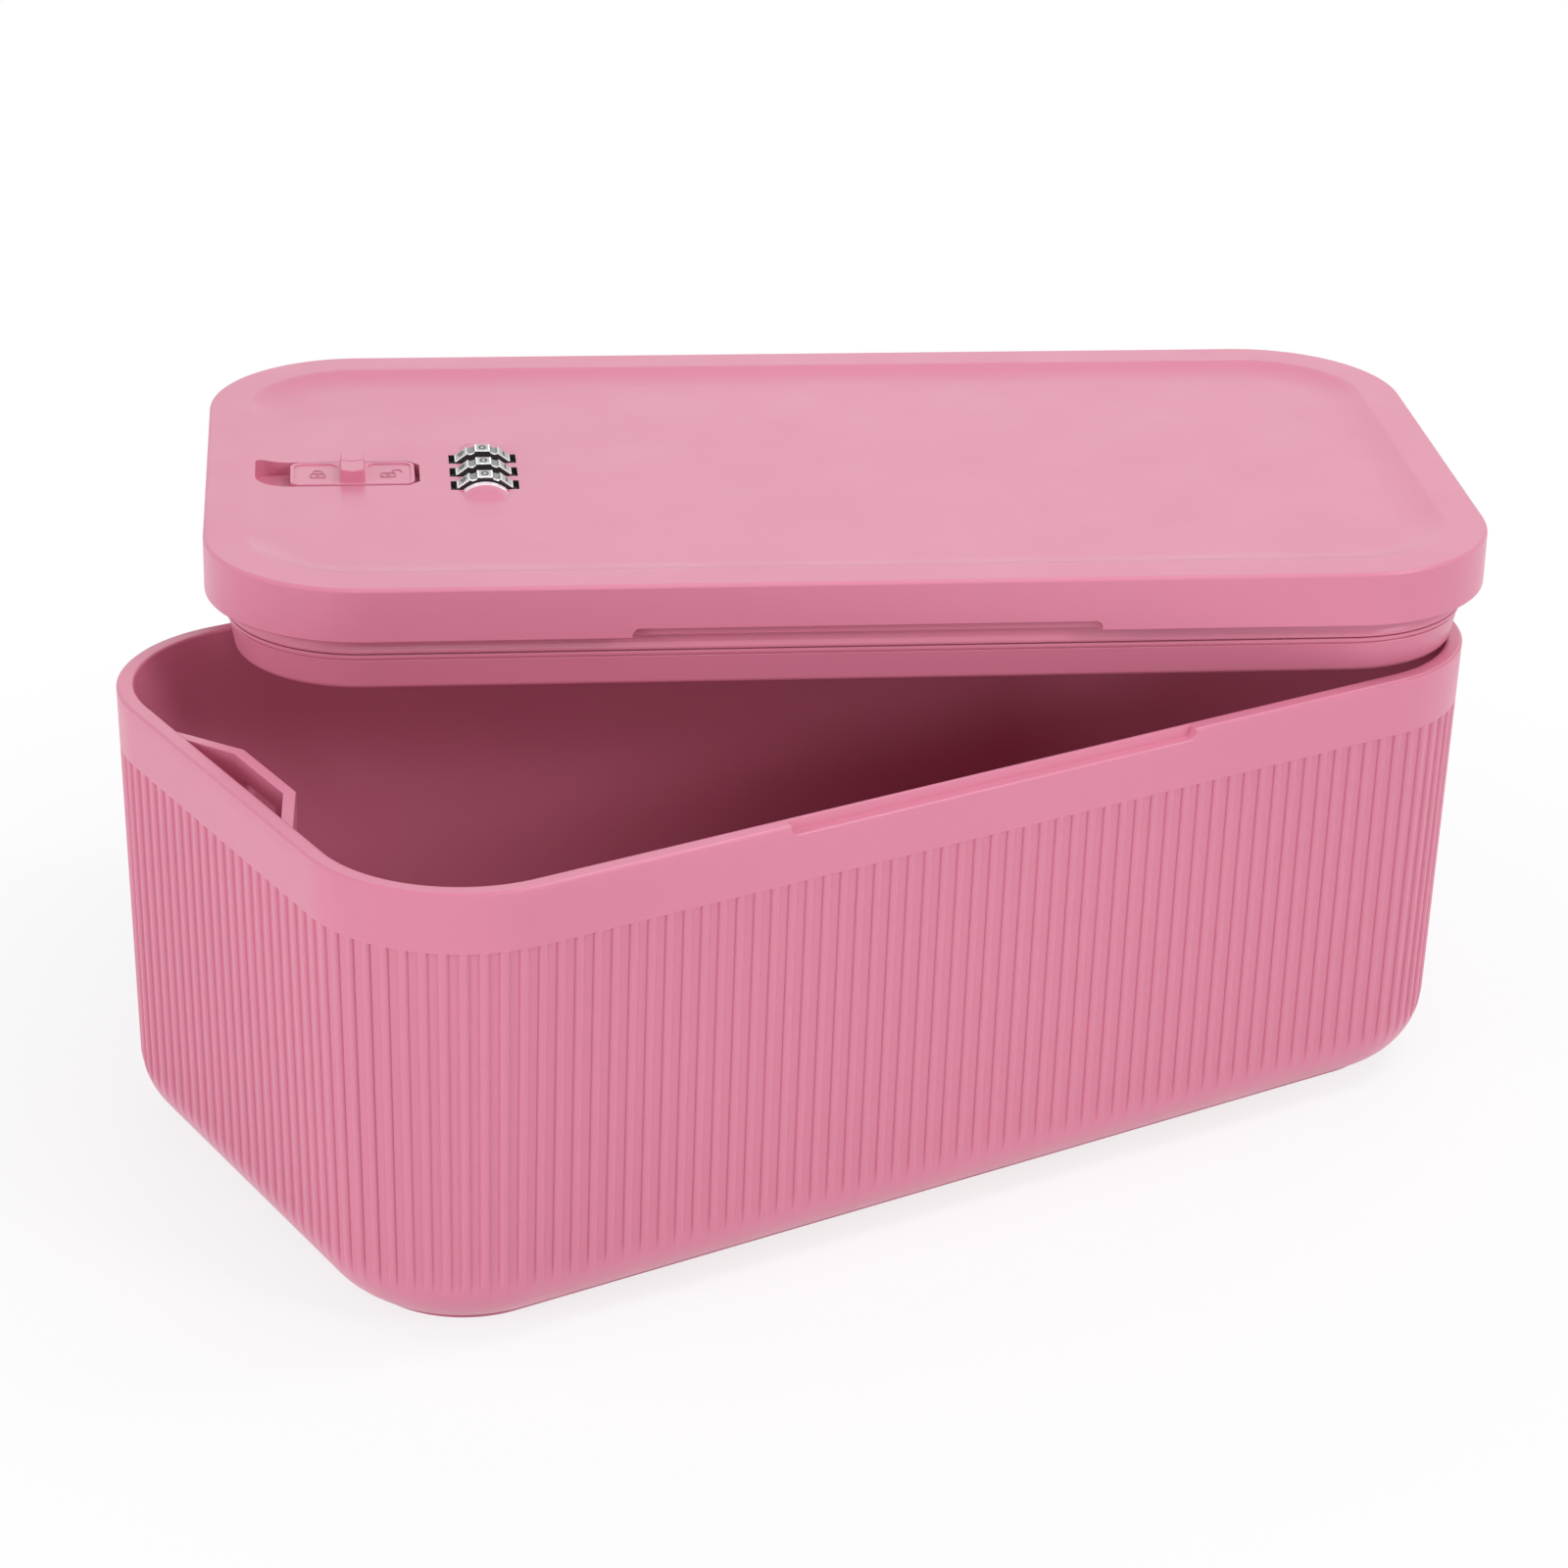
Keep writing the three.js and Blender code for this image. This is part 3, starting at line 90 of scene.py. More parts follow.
# The port in the lid's tray that the bolt leaves through
PORT_LENGTH, PORT_HALF, PORT_LOW, PORT_TOP = 4.2, 6.9, -10.3, -5.9
# Places of the lid's tray screws and its reset button
TRAY_SCREWS = [(x, side * y) for side in (-1, 1) for x, y in ((-112, 50), (0, 59), (112, 50))]
SCREW_HEAD_R, SCREW_HOLE_R = 2.9, 1.6
RESET_Y, RESET_HOLE_R = -29, 3.3

MM = Matrix.Scale(0.001, 4)
ROW = Matrix.Identity(4)
LID = Matrix.Translation((32.93, 41.79, 114.7)) @ Matrix.Rotation(math.radians(-26.15), 4, "Z")
HALF_TURN, QUARTER = math.pi, math.pi / 2
DIGIT_TURN = math.pi / 5


# Mesh building
def solid(verts, faces):
    mesh = bpy.data.meshes.new("work")
    mesh.from_pydata([tuple(v) for v in verts], [], faces)
    mesh.validate()
    obj = bpy.data.objects.new("work", mesh)
    bpy.context.scene.collection.objects.link(obj)
    return obj


def loft(rings):
    """A closed skin through rings of points, with a flat face on the first and the last."""
    count = len(rings[0])
    verts = [v for ring in rings for v in ring]
    faces = [tuple(reversed(range(count))), tuple(range(len(verts) - count, len(verts)))]
    for i in range(len(rings) - 1):
        a, b = i * count, (i + 1) * count
        faces += [(a + j, a + (j + 1) % count, b + (j + 1) % count, b + j) for j in range(count)]
    return solid(verts, faces)


def arc(inset, z, radius, start, end, steps):
    """Points on a circle's arc, in a section's (inset, z) or any other plane."""
    angles = [start + (end - start) * i / steps for i in range(steps + 1)]
    return [(inset + radius * math.cos(a), z + radius * math.sin(a)) for a in angles]


def box_ring(inset, z, steps=24):
    """The box's outline with its round corners, drawn in by an inset."""
    radius = CORNER - inset
    points = []
    for turn, (sx, sy) in enumerate(((1, 1), (-1, 1), (-1, -1), (1, -1))):
        for k in range(steps + 1):
            a = (turn + k / steps) * QUARTER
            points.append((sx * CORNER_X + radius * math.cos(a), sy * CORNER_Y + radius * math.sin(a), z))
    return points


def prism(points, z0, z1):
    return loft([[(x, y, z0) for x, y in points], [(x, y, z1) for x, y in points]])


def prism_y(points, y0, y1):
    return loft([[(x, y1, z) for x, z in points], [(x, y0, z) for x, z in points]])


def box(x0, x1, y0, y1, z0, z1):
    return prism([(x0, y0), (x1, y0), (x1, y1), (x0, y1)], z0, z1)


def circle(x, y, radius, steps=40):
    return [(x + radius * math.cos(a), y + radius * math.sin(a))
            for a in (2 * math.pi * i / steps for i in range(steps))]


def post(x, y, radius, z0, z1, steps=40):
    return prism(circle(x, y, radius, steps), z0, z1)


def axle(radius, y0, y1, steps=72):
    return prism_y(circle(DIAL_X, AXIS_Z, radius, steps), y0, y1)


def rounded(x0, x1, y0, y1, radius, steps=8):
    points = []
    for cx, cy, turn in ((x1, y1, 0), (x0, y1, 1), (x0, y0, 2), (x1, y0, 3)):
        cx += radius if cx == x0 else -radius
        cy += radius if cy == y0 else -radius
        points += arc(cx, cy, radius, turn * QUARTER, (turn + 1) * QUARTER, steps)
    return points


def boolean(base, operation, others):
    for other in others:
        modifier = base.modifiers.new("cut", "BOOLEAN")
        modifier.operation, modifier.solver, modifier.object = operation, "EXACT", other
    graph = bpy.context.evaluated_depsgraph_get()
    mesh = bpy.data.meshes.new_from_object(base.evaluated_get(graph))
    base.modifiers.clear()
    base.data = mesh
    for other in others:
        bpy.data.objects.remove(other)
    return base


def cut(base, *others):
    return boolean(base, "DIFFERENCE", others)


def join(base, *others):
    return boolean(base, "UNION", others)


def soften(obj, offset, where, segments=2, least=35):
    """Rounds the sharp edges whose middle is inside the region: least is their smallest angle in degrees."""
    bm = bmesh.new()
    bm.from_mesh(obj.data)
    bmesh.ops.remove_doubles(bm, verts=bm.verts, dist=0.005)
    edges = []
    for edge in bm.edges:
        if len(edge.link_faces) != 2 or edge.calc_face_angle(0) < math.radians(least):
            continue
        if where((edge.verts[0].co + edge.verts[1].co) / 2):
            edges.append(edge)
    bmesh.ops.bevel(bm, geom=edges, offset=offset, segments=segments, profile=0.5, affect="EDGES",
                    clamp_overlap=True)
    bm.to_mesh(obj.data)
    bm.free()
    return obj


def place(obj, name, frame_matrix, body, materials, replaces=(), angle=32, weighted=True):
    """Puts a piece where it belongs, with its materials and body. Edges over the angle stay sharp."""
    obj.name = obj.data.name = name
    obj.data.transform(MM @ frame_matrix)
    indices = [face.material_index for face in obj.data.polygons]
    obj.data.materials.clear()
    for material in materials if isinstance(materials, (list, tuple)) else [materials]:
        obj.data.materials.append(material)
    for face, index in zip(obj.data.polygons, indices):
        face.material_index = index
    obj.data.shade_smooth()
    obj.data.set_sharp_from_angle(angle=math.radians(angle))
    if weighted:
        modifier = obj.modifiers.new("flat_faces", "WEIGHTED_NORMAL")
        modifier.keep_sharp = True
    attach(obj, body)
    if replaces:
        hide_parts(*replaces)
    return obj


# Materials
def node_material(name):
    material = bpy.data.materials.new(name)
    material.use_nodes = True
    tree = material.node_tree
    return material, tree, tree.nodes["Principled BSDF"]


def noise(tree, scale, detail, source):
    node = tree.nodes.new("ShaderNodeTexNoise")
    node.inputs["Scale"].default_value = scale
    node.inputs["Detail"].default_value = detail
    tree.links.new(source.outputs["Object"], node.inputs["Vector"])
    return node


def ramp(tree, source, low, high, start=0.3, end=0.7):
    node = tree.nodes.new("ShaderNodeMapRange")
    node.inputs["From Min"].default_value, node.inputs["From Max"].default_value = start, end
    node.inputs["To Min"].default_value, node.inputs["To Max"].default_value = low, high
    tree.links.new(source, node.inputs["Value"])
    return node.outputs["Result"]


def drifting_colour(tree, shader, slow, colour, darkest):
    """Base colour that drifts slowly between the colour and a darker share of it."""
    node = tree.nodes.new("ShaderNodeMix")
    node.data_type = "RGBA"
    node.inputs["A"].default_value = (*(c * darkest for c in colour), 1)
    node.inputs["B"].default_value = (*colour, 1)
    tree.links.new(ramp(tree, slow.outputs["Fac"], 0, 1), node.inputs["Factor"])
    tree.links.new(node.outputs["Result"], shader.inputs["Base Color"])


def bumps(tree, shader, heights, strength, distance):
    bump = tree.nodes.new("ShaderNodeBump")
    bump.inputs["Strength"].default_value = strength
    bump.inputs["Distance"].default_value = distance
    tree.links.new(heights.outputs["Fac"], bump.inputs["Height"])
    tree.links.new(bump.outputs["Normal"], shader.inputs["Normal"])


def plastic(name, colour, rough, grain=0.00001, spread=0.03, ior=1.5):
    """Satin moulded plastic: a fine spark-eroded grain, slow colour drift and uneven gloss."""
    material, tree, shader = node_material(name)
    where = tree.nodes.new("ShaderNodeTexCoord")
    slow = noise(tree, 14, 3, where)
    fine = noise(tree, 2600, 2, where)
    smudge = noise(tree, 60, 5, where)
    drifting_colour(tree, shader, slow, colour, 1 - spread)
    tree.links.new(ramp(tree, smudge.outputs["Fac"], rough - 0.03, rough + 0.04), shader.inputs["Roughness"])
    bumps(tree, shader, fine, 0.5, grain)
    shader.inputs["IOR"].default_value = ior
    return material


def metal(name, colour, rough, scratches=(900, 60, 60)):
    """Turned or drawn metal: fine lines along one way, which change its gloss, and a slow drift of colour.
    """
    material, tree, shader = node_material(name)
    where = tree.nodes.new("ShaderNodeTexCoord")
    scale = tree.nodes.new("ShaderNodeMapping")
    scale.inputs["Scale"].default_value = scratches
    tree.links.new(where.outputs["Object"], scale.inputs["Vector"])
    lines = tree.nodes.new("ShaderNodeTexNoise")
    lines.inputs["Scale"].default_value = 8
    lines.inputs["Detail"].default_value = 4
    tree.links.new(scale.outputs["Vector"], lines.inputs["Vector"])
    slow = noise(tree, 120, 3, where)
    drifting_colour(tree, shader, slow, colour, 0.86)
    tree.links.new(ramp(tree, lines.outputs["Fac"], rough - 0.08, rough + 0.1), shader.inputs["Roughness"])
    bumps(tree, shader, lines, 0.3, 0.00001)
    shader.inputs["Metallic"].default_value = 1
    return material


pink = plastic("shell_plastic", (0.685, 0.218, 0.33), 0.33, 0.000006)
black = plastic("lock_plastic", (0.018, 0.018, 0.02), 0.45, spread=0.2)
silver = metal("dial_metal", (0.44, 0.45, 0.44), 0.34)
# Brighter and darker copies of the dial metal: a painted highlight on the edges round the lands, and painted
# shade in the valleys
painted_highlight_metal = metal("dial_edge_painted_highlight", (0.9, 0.91, 0.9), 0.18)
painted_shade_metal = metal("dial_valley_painted_shade", (0.24, 0.25, 0.24), 0.4)
sign_relief = plastic("sign_relief", (0.46, 0.13, 0.2), 0.34)
# Pale pink for the front guard's crest: a painted highlight
guard_painted_highlight = plastic("guard_painted_highlight", (0.96, 0.8, 0.86), 0.16)
steel = metal("steel", (0.56, 0.57, 0.58), 0.3, (60, 60, 900))
brass = metal("brass", (0.72, 0.5, 0.2), 0.32)
ink = plastic("digit_ink", (0.1, 0.1, 0.105), 0.6, spread=0.2)

# The CAD nodes that show as they are: black mouldings, brass cams, and the rest in steel
for name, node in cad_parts.items():
    material = brass if name.startswith("code_cam") else steel
    if name in ("bolt_carriage", "lock_frame", "reset_button"):
        material = black
    node.data.materials.clear()
    node.data.materials.append(material)


# The reset spring: a copy of its CAD mesh that rides with the lid. Its button travels 1.5 mm
def reset_coil():
    coil = bpy.data.objects.new("reset_coil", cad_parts["reset_spring"].data.copy())
    bpy.context.scene.collection.objects.link(coil)
    coil.data.shade_smooth()
    coil.data.set_sharp_from_angle(angle=math.radians(40))
    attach(coil, "lid")
    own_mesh(coil)
    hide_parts("reset_spring")


reset_coil()


# Bin: one grid of columns round the outline and rows along the wall's section
def wall_inset(z):
    return DRAFT * (1 - z / RIM)


def rib_columns(length, count):
    """Places along a stretch of ribs, each with the share of the ridge's height that it has."""
    pitch = length / count
    shares = (0, 0.4, 0.72, 0.92, 1)
    result = []
    for i in range(count):
        for share in shares:
            result.append((i * pitch + share * RIDGE, max(0, 1 - share ** 2.3) ** 0.55))
        result.append(((i + 0.5) * pitch, 0))
        for share in reversed(shares[1:]):
            result.append(((i + 1) * pitch - share * RIDGE, max(0, 1 - share ** 2.3) ** 0.55))
    result.append((length, 1))
    return result


def notch_drop(x):
    """How deep the finger notch is at x, along the front."""
    inside = NOTCH / 2 - abs(x)
    if inside <= 0:
        return 0
    if inside >= NOTCH_CORNER:
        return NOTCH_HEIGHT
    return NOTCH_HEIGHT - NOTCH_CORNER + math.sqrt(NOTCH_CORNER ** 2 - (NOTCH_CORNER - inside) ** 2)


def with_notch_ends(places):
    """The front's places along the ribs, with more of them at the rounded ends of the finger notch."""
    edge = NOTCH / 2
    extra = [edge, edge - 0.02]
    extra += [edge - NOTCH_CORNER * (1 - math.cos(k * QUARTER / 6)) for k in range(1, 7)]
    have = dict(places)
    known = sorted(have)
    for x in [e * s for e in extra for s in (-1, 1)]:
        along = x + CORNER_X
        before = max(k for k in known if k <= along)
        after = min(k for k in known if k >= along)
        part = (along - before) / (after - before) if after > before else 0
        have[along] = have[before] * (1 - part) + have[after] * part
    places = sorted(have.items())
    return [p for i, p in enumerate(places) if i == 0 or p[0] - places[i - 1][0] > 0.012]


def outline_columns():
    """Columns round the bin: a point, the direction out, the ridge's share and the notch's depth."""
    corner_count = round(CORNER * QUARTER / RIB_PITCH)
    columns = []
    for turn, (sx, sy) in enumerate(((1, 1), (-1, 1), (-1, -1), (1, -1))):
        start = turn * QUARTER
        for along, share in rib_columns(CORNER * QUARTER, corner_count)[:-1]:
            a = start + along / CORNER
            out = Vector((math.cos(a), math.sin(a), 0))
            columns.append((Vector((sx * CORNER_X, sy * CORNER_Y, 0)) + out * CORNER, out, share, 0))
        straight = 2 * (CORNER_X if turn % 2 == 0 else CORNER_Y)
        places = rib_columns(straight, round(straight / RIB_PITCH))[:-1]
        out = Vector((math.cos(start + QUARTER), math.sin(start + QUARTER), 0))
        ahead = Vector((-out.y, out.x, 0))
        first = Vector((sx * CORNER_X, sy * CORNER_Y, 0)) + out * CORNER
        if turn == 2:
            places = with_notch_ends(places)
        for along, share in places:
            point = first + ahead * along
            columns.append((point, out, share, notch_drop(point.x) if turn == 2 else 0))
    return columns


def bin_rows():
    """Rows of the section from the foot to the bin's floor: for each, a function of (share, drop)."""
    run = math.acos((FILLET - FOOT) / FILLET)
    centre = wall_inset(FILLET) + FILLET
    outer = arc(centre, FILLET, FILLET, -QUARTER - run, -HALF_TURN, 12)
    foot = outer[0][0] + FOOT_STEP
    rows = [lambda s, d, p=p: p for p in (
        (foot + 0.3, 0), (foot + 0.08, 0.08), (foot, 0.3), (foot, FOOT - 0.1), (foot - 0.1, FOOT),
        (outer[0][0] + 0.22, FOOT), (outer[0][0] + 0.06, FOOT + 0.05),
    )]

    def ribbed(inset, z, share):
        deepest = max(0.0, wall_inset(z) + GROOVE - inset)
        return inset + (1 - share) * deepest, z

    for inset, z in outer[1:]:
        rows.append(lambda s, d, i=inset, z=z: ribbed(i, z, s))
    top = RIM - BAND
    for z in (24, 60, top - 0.12):
        rows.append(lambda s, d, z=z: ribbed(wall_inset(z), z, s))
    rows.append(lambda s, d: (wall_inset(top) + 0.1 * (1 - s), top))
    for z in (top + 0.1, top + 0.8, RIM - 4):
        rows.append(lambda s, d, z=z: (wall_inset(z), z))
    # The rim's outer edge is a fine rebate, and along the finger notch a plain rounding
    rebate = ((0, 0.62), (0.03, 0.48), (0.12, 0.4), (0.36, 0.36), (0.44, 0.28), (0.5, 0.1), (0.62, 0))
    lowest, steps = rebate[0][1], len(rebate) - 1
    for k, (inward, under) in enumerate(rebate):
        def edge(s, d, k=k, inward=inward, under=under):
            if d == 0:
                return wall_inset(RIM - lowest) + inward, RIM - under
            z = RIM - d - NOTCH_EDGE
            a = HALF_TURN - k / steps * QUARTER
            return wall_inset(z) + NOTCH_EDGE * (1 + math.cos(a)), z + NOTCH_EDGE * math.sin(a)
        rows.append(edge)
    deep = NOTCH_DEPTH
    for inset, lift in ((deep - 0.15, 0), (deep - 0.04, 0.04), (deep, 0.15)):
        rows.append(lambda s, d, i=inset, l=lift: (i, RIM - max(0, d - l)))
    for inset, sink in ((deep, 0.3), (deep + 0.08, 0.08), (deep + 0.3, 0)):
        rows.append(lambda s, d, i=inset, k=sink: (i, RIM - min(k, d * 0.5)))
    for inset, z in arc(WALL - 0.5, RIM - 0.5, 0.5, QUARTER, 0, 3):
        rows.append(lambda s, d, i=inset, z=z: (i, z))
    inner = FILLET - WALL
    for inset, z in arc(centre, FLOOR + inner, inner, HALF_TURN, HALF_TURN * 1.5, 5):
        rows.append(lambda s, d, i=inset, z=z: (i, z))
    rows.append(lambda s, d: (centre + 0.5, FLOOR))
    return rows


def bin_body():
    columns = outline_columns()
    rings = []
    for row in bin_rows():
        ring = []
        for point, out, share, drop in columns:
            inset, z = row(share, drop)
            spot = point - out * inset
            ring.append((spot.x, spot.y, z))
        rings.append(ring)
    return loft(rings)


place(bin_body(), "bin_body", ROW, "bin", pink, ["bin"], weighted=False)


# Latch pocket inside the bin's left wall
def pocket_plan(offset, root):
    """The pocket seen from above, made larger by the offset, from its root in the wall to its face."""
    wall_x, face_x = -LENGTH / 2 + WALL, -LENGTH / 2 + POCKET_FACE
    run, rise = face_x - wall_x, POCKET_FACE_HALF - POCKET_ROOT_HALF
    length = math.hypot(run, rise)

    def side(x):
        return POCKET_ROOT_HALF + (x - wall_x) * rise / run + offset * length / run

    face = face_x + offset
    return [(root, -side(root)), (face, -side(face)), (face, side(face)), (root, side(root))]


def latch_pocket():
    root, top, bottom = -LENGTH / 2 + WALL / 2, RIM - 0.5, RIM - POCKET_DEPTH
    body = prism(pocket_plan(0, root), bottom, top)
    hollow = prism(pocket_plan(-POCKET_WALL, root - 1), bottom + POCKET_WALL, top + 1)
    face = -LENGTH / 2 + POCKET_FACE
    window = box(face - POCKET_WALL - 1, face + 1, -BOLT_WINDOW_HALF, BOLT_WINDOW_HALF,
                 RIM - BOLT_WINDOW_LOW, RIM - BOLT_WINDOW_TOP)
    body = cut(body, hollow, window)
    return soften(body, 0.3, lambda p: p.x > -LENGTH / 2 + WALL + 0.05, 3)


place(latch_pocket(), "latch_pocket", ROW, "bin", pink)


def keeper_ledge():
    wall = LENGTH / 2 - WALL
    tip, root, top = wall - KEEPER_REACH, LENGTH / 2 - WALL / 2, RIM - 5
    profile = [(tip, top - 3), (root, top - 3), (root, top), (wall, top), (tip, top - 1)]
    body = prism_y(profile, -KEEPER_HALF, KEEPER_HALF)
    return soften(body, 0.3, lambda p: p.x < wall - 0.05, 3, 20)


place(keeper_ledge(), "keeper_ledge", ROW, "bin", pink)


# Lid: top shell
dish_radius = (DISH ** 2 + (LID_TOP - PANEL) ** 2) / (2 * (LID_TOP - PANEL))
dish_sweep = math.asin(DISH / dish_radius)


def dish(drop, steps=12):
    """The hollow rounding from the border down to the panel, lowered by a drop."""
    points = arc(BORDER + DISH, PANEL + dish_radius, dish_radius, -QUARTER - dish_sweep, -QUARTER, steps)
    return [(inset, z - drop) for inset, z in points]


def pocket_recess(offset, z0, z1):
    """The room that the lid leaves for the bin's pocket, 1 mm wider all round."""
    return prism(pocket_plan(1 + offset, -LENGTH / 2 + NECK - 0.5 - 1), z0, z1)


def guard_section(y, rise_share, trim=0.0, steps=28):
    """A half-round section across a dial guard, with its rise over the panel scaled by a share."""
    radius = GUARD_R - trim
    root, half = PANEL_UNDER + 1.1, math.sqrt(GUARD_R ** 2 - AXIS_DEPTH ** 2)
    points = [(DIAL_X - half, y, root)]
    for i in range(steps + 1):
        x = half * (2 * i / steps - 1)
        rise = max(0.0, math.sqrt(max(0, radius ** 2 - x ** 2)) - AXIS_DEPTH)
        points.append((DIAL_X + x, y, PANEL + rise * rise_share))
    points.append((DIAL_X + half, y, root))
    return points


def slot_outline(grow=0.0):
    """The slide recess from above: chamfered corners at its right end, round ones at its left."""
    x0, x1, half = SLOT_X0 - grow, SLOT_X1 + grow, SLOT_HALF + grow
    corner, chamfer = 3 + grow, 2.4 + grow / 2
    points = [(x1 - chamfer, -half), (x1, -half + chamfer), (x1, half - chamfer), (x1 - chamfer, half)]
    points += arc(x0 + corner, half - corner, corner, QUARTER, HALF_TURN, 10)
    return points + arc(x0 + corner, -half + corner, corner, HALF_TURN, HALF_TURN * 1.5, 10)


def shell_section():
    """The top shell in section: under the panel, down inside the neck, up over the edge and border."""
    inner, bead, over_panel = NECK + SHELL, NECK - 0.5, BORDER + DISH + 1
    top_dish = dish(0)
    crease = top_dish[0][0]
    return [
        (over_panel, PANEL_UNDER), *reversed(dish(SHELL, 6)),
        (inner, LID_TOP - SHELL), (inner, NECK_FOOT),
        (NECK - 0.3, NECK_FOOT), (NECK - 0.44, -4.24), (bead, -4.1), (bead, -3.75),
        (NECK - 0.42, -3.45), (NECK - 0.2, -3.05), (NECK, -2.65),
        (NECK, 0), (0.4, 0), (0.16, 0.07), (0.04, 0.2), (0, 0.4),
        *arc(LID_EDGE, LID_TOP - LID_EDGE, LID_EDGE, HALF_TURN, QUARTER, 8),
        (crease - 0.7, LID_TOP), (crease - 0.3, LID_TOP - 0.02), (crease + 0.08, LID_TOP - 0.09),
        *top_dish[1:], (over_panel, PANEL),
    ]


def dial_guard(side):
    """The guard before (-1) or behind (1) the dials: cut off square at their windows, then falling."""
    start, steps = DIAL_PITCH + WINDOW_HALF_Y, 12
    places = [(start, 1, 0.2), (start + 0.25, 1, 0), (start + 2.4, 1, 0), (start + 2.75, 0.985, 0)]
    for i in range(1, steps + 1):
        share = i / steps
        rise = 0.96 * (1 + math.cos(math.pi * share)) / 2
        places.append((start + 2.9 + 6.2 * share, rise, 0))
    rings = [guard_section(side * y, rise, trim) for y, rise, trim in places]
    return loft(rings if side > 0 else rings[::-1])


def edge_hollow():
    """The channel under the lid's edge, between its outer wall and the neck, with eight webs across.

    Along the finger notch the edge stays solid.
    """
    outer, inner, web, low, high = 2.7, NECK - 0.4, 0.75, -2, 12
    hollow = loft([box_ring(outer, -1), box_ring(outer, 8)])
    middle = loft([box_ring(inner, low), box_ring(inner, 9)])
    notch_half = NOTCH / 2 + SHELL
    hollow = cut(hollow, middle, box(-notch_half, notch_half, -WIDTH, 0, low, high))
    webs = []
    for i in range(8):
        a = (i + 0.5) * QUARTER / 2
        ax, ay = math.cos(a), math.sin(a)
        corners = [(-ay * w + ax * r, ax * w + ay * r)
                   for r, w in ((0, -web), (LENGTH, -web), (LENGTH, web), (0, web))]
        webs.append(prism(corners, low, high))
    return cut(hollow, *webs)


def lid_shell():
    shell = loft([box_ring(inset, z) for inset, z in shell_section()])
    filled = pocket_recess(SHELL, NECK_FOOT, SHELL)
    inside = box(-LENGTH / 2 + NECK, 0, -WIDTH, WIDTH, NECK_FOOT, SHELL)
    filled = boolean(filled, "INTERSECT", [inside])
    pan_under = SLOT_FLOOR - 1.6
    pan = prism(slot_outline(SHELL), pan_under, LID_TOP)
    below = [box_ring(BORDER, pan_under - 1), *[box_ring(inset, z) for inset, z in dish(FIT)]]
    pan = boolean(pan, "INTERSECT", [loft(below)])
    shell = join(shell, filled, pan, dial_guard(-1), dial_guard(1))

    half = NOTCH / 2
    corner = arc(half - NOTCH_CORNER, NOTCH_HEIGHT - NOTCH_CORNER, NOTCH_CORNER, 0, QUARTER, 8)
    notch = [(half, -1), *corner, *[(-x, z) for x, z in reversed(corner)], (-half, -1)]
    shell = cut(
        shell, pocket_recess(0, NECK_FOOT - 1, 0), edge_hollow(),
        prism_y(notch, -WIDTH / 2 - 1, -WIDTH / 2 + NOTCH_DEPTH),
        prism(slot_outline(), SLOT_FLOOR, LID_TOP + 1),
        box(GAP_X0, GAP_X1, -GAP_HALF, GAP_HALF, pan_under - 1, SLOT_FLOOR + 1),
    )
    x0, x1 = DIAL_X - WINDOW_HALF_X, DIAL_X + WINDOW_HALF_X
    for y in DIAL_PLACES:
        y0, y1 = y - WINDOW_HALF_Y, y + WINDOW_HALF_Y
        shell = cut(shell, box(x0, x1, y0, y1, PANEL_UNDER - 1, LID_TOP + 1))
        shell = cut(shell, axle(DIAL_R + 0.5, y0, y1))

    def shown(p):
        near_notch = p.y < -WIDTH / 2 + 2.5 and abs(p.x) < half + 0.1 and -0.1 < p.z < 2.4
        near_slots = p.z > PANEL - 0.05 and -130 < p.x < -69 and abs(p.y) < 15
        return near_notch or near_slots

    return soften(shell, 0.22, shown)


def lid_faces(shell):
    """Black walls in the dials' windows, and on the front guard's crest a pale, glossier plastic: a painted
    highlight where it shines.
    """
    for face in shell.data.polygons:
        x, y, z = face.center
        from_dials = abs(x - DIAL_X)
        in_window = min(abs(y - place_y) for place_y in DIAL_PLACES) < WINDOW_HALF_Y + 0.02
        on_guard = -DIAL_PITCH - 5.3 < y < -DIAL_PITCH - 2.85 and from_dials < 4.7
        face.material_index = 1 if in_window and from_dials < 9.5 and z < LID_TOP else 0
        # The front guard's crest takes the pale plastic, a painted highlight
        if on_guard and z > PANEL + 0.12 and face.normal.z > 0.3:
            face.material_index = 2
    return shell


place(lid_faces(lid_shell()), "lid_shell", LID, "lid", [pink, black, guard_painted_highlight],
      ["lid_top_shell"])


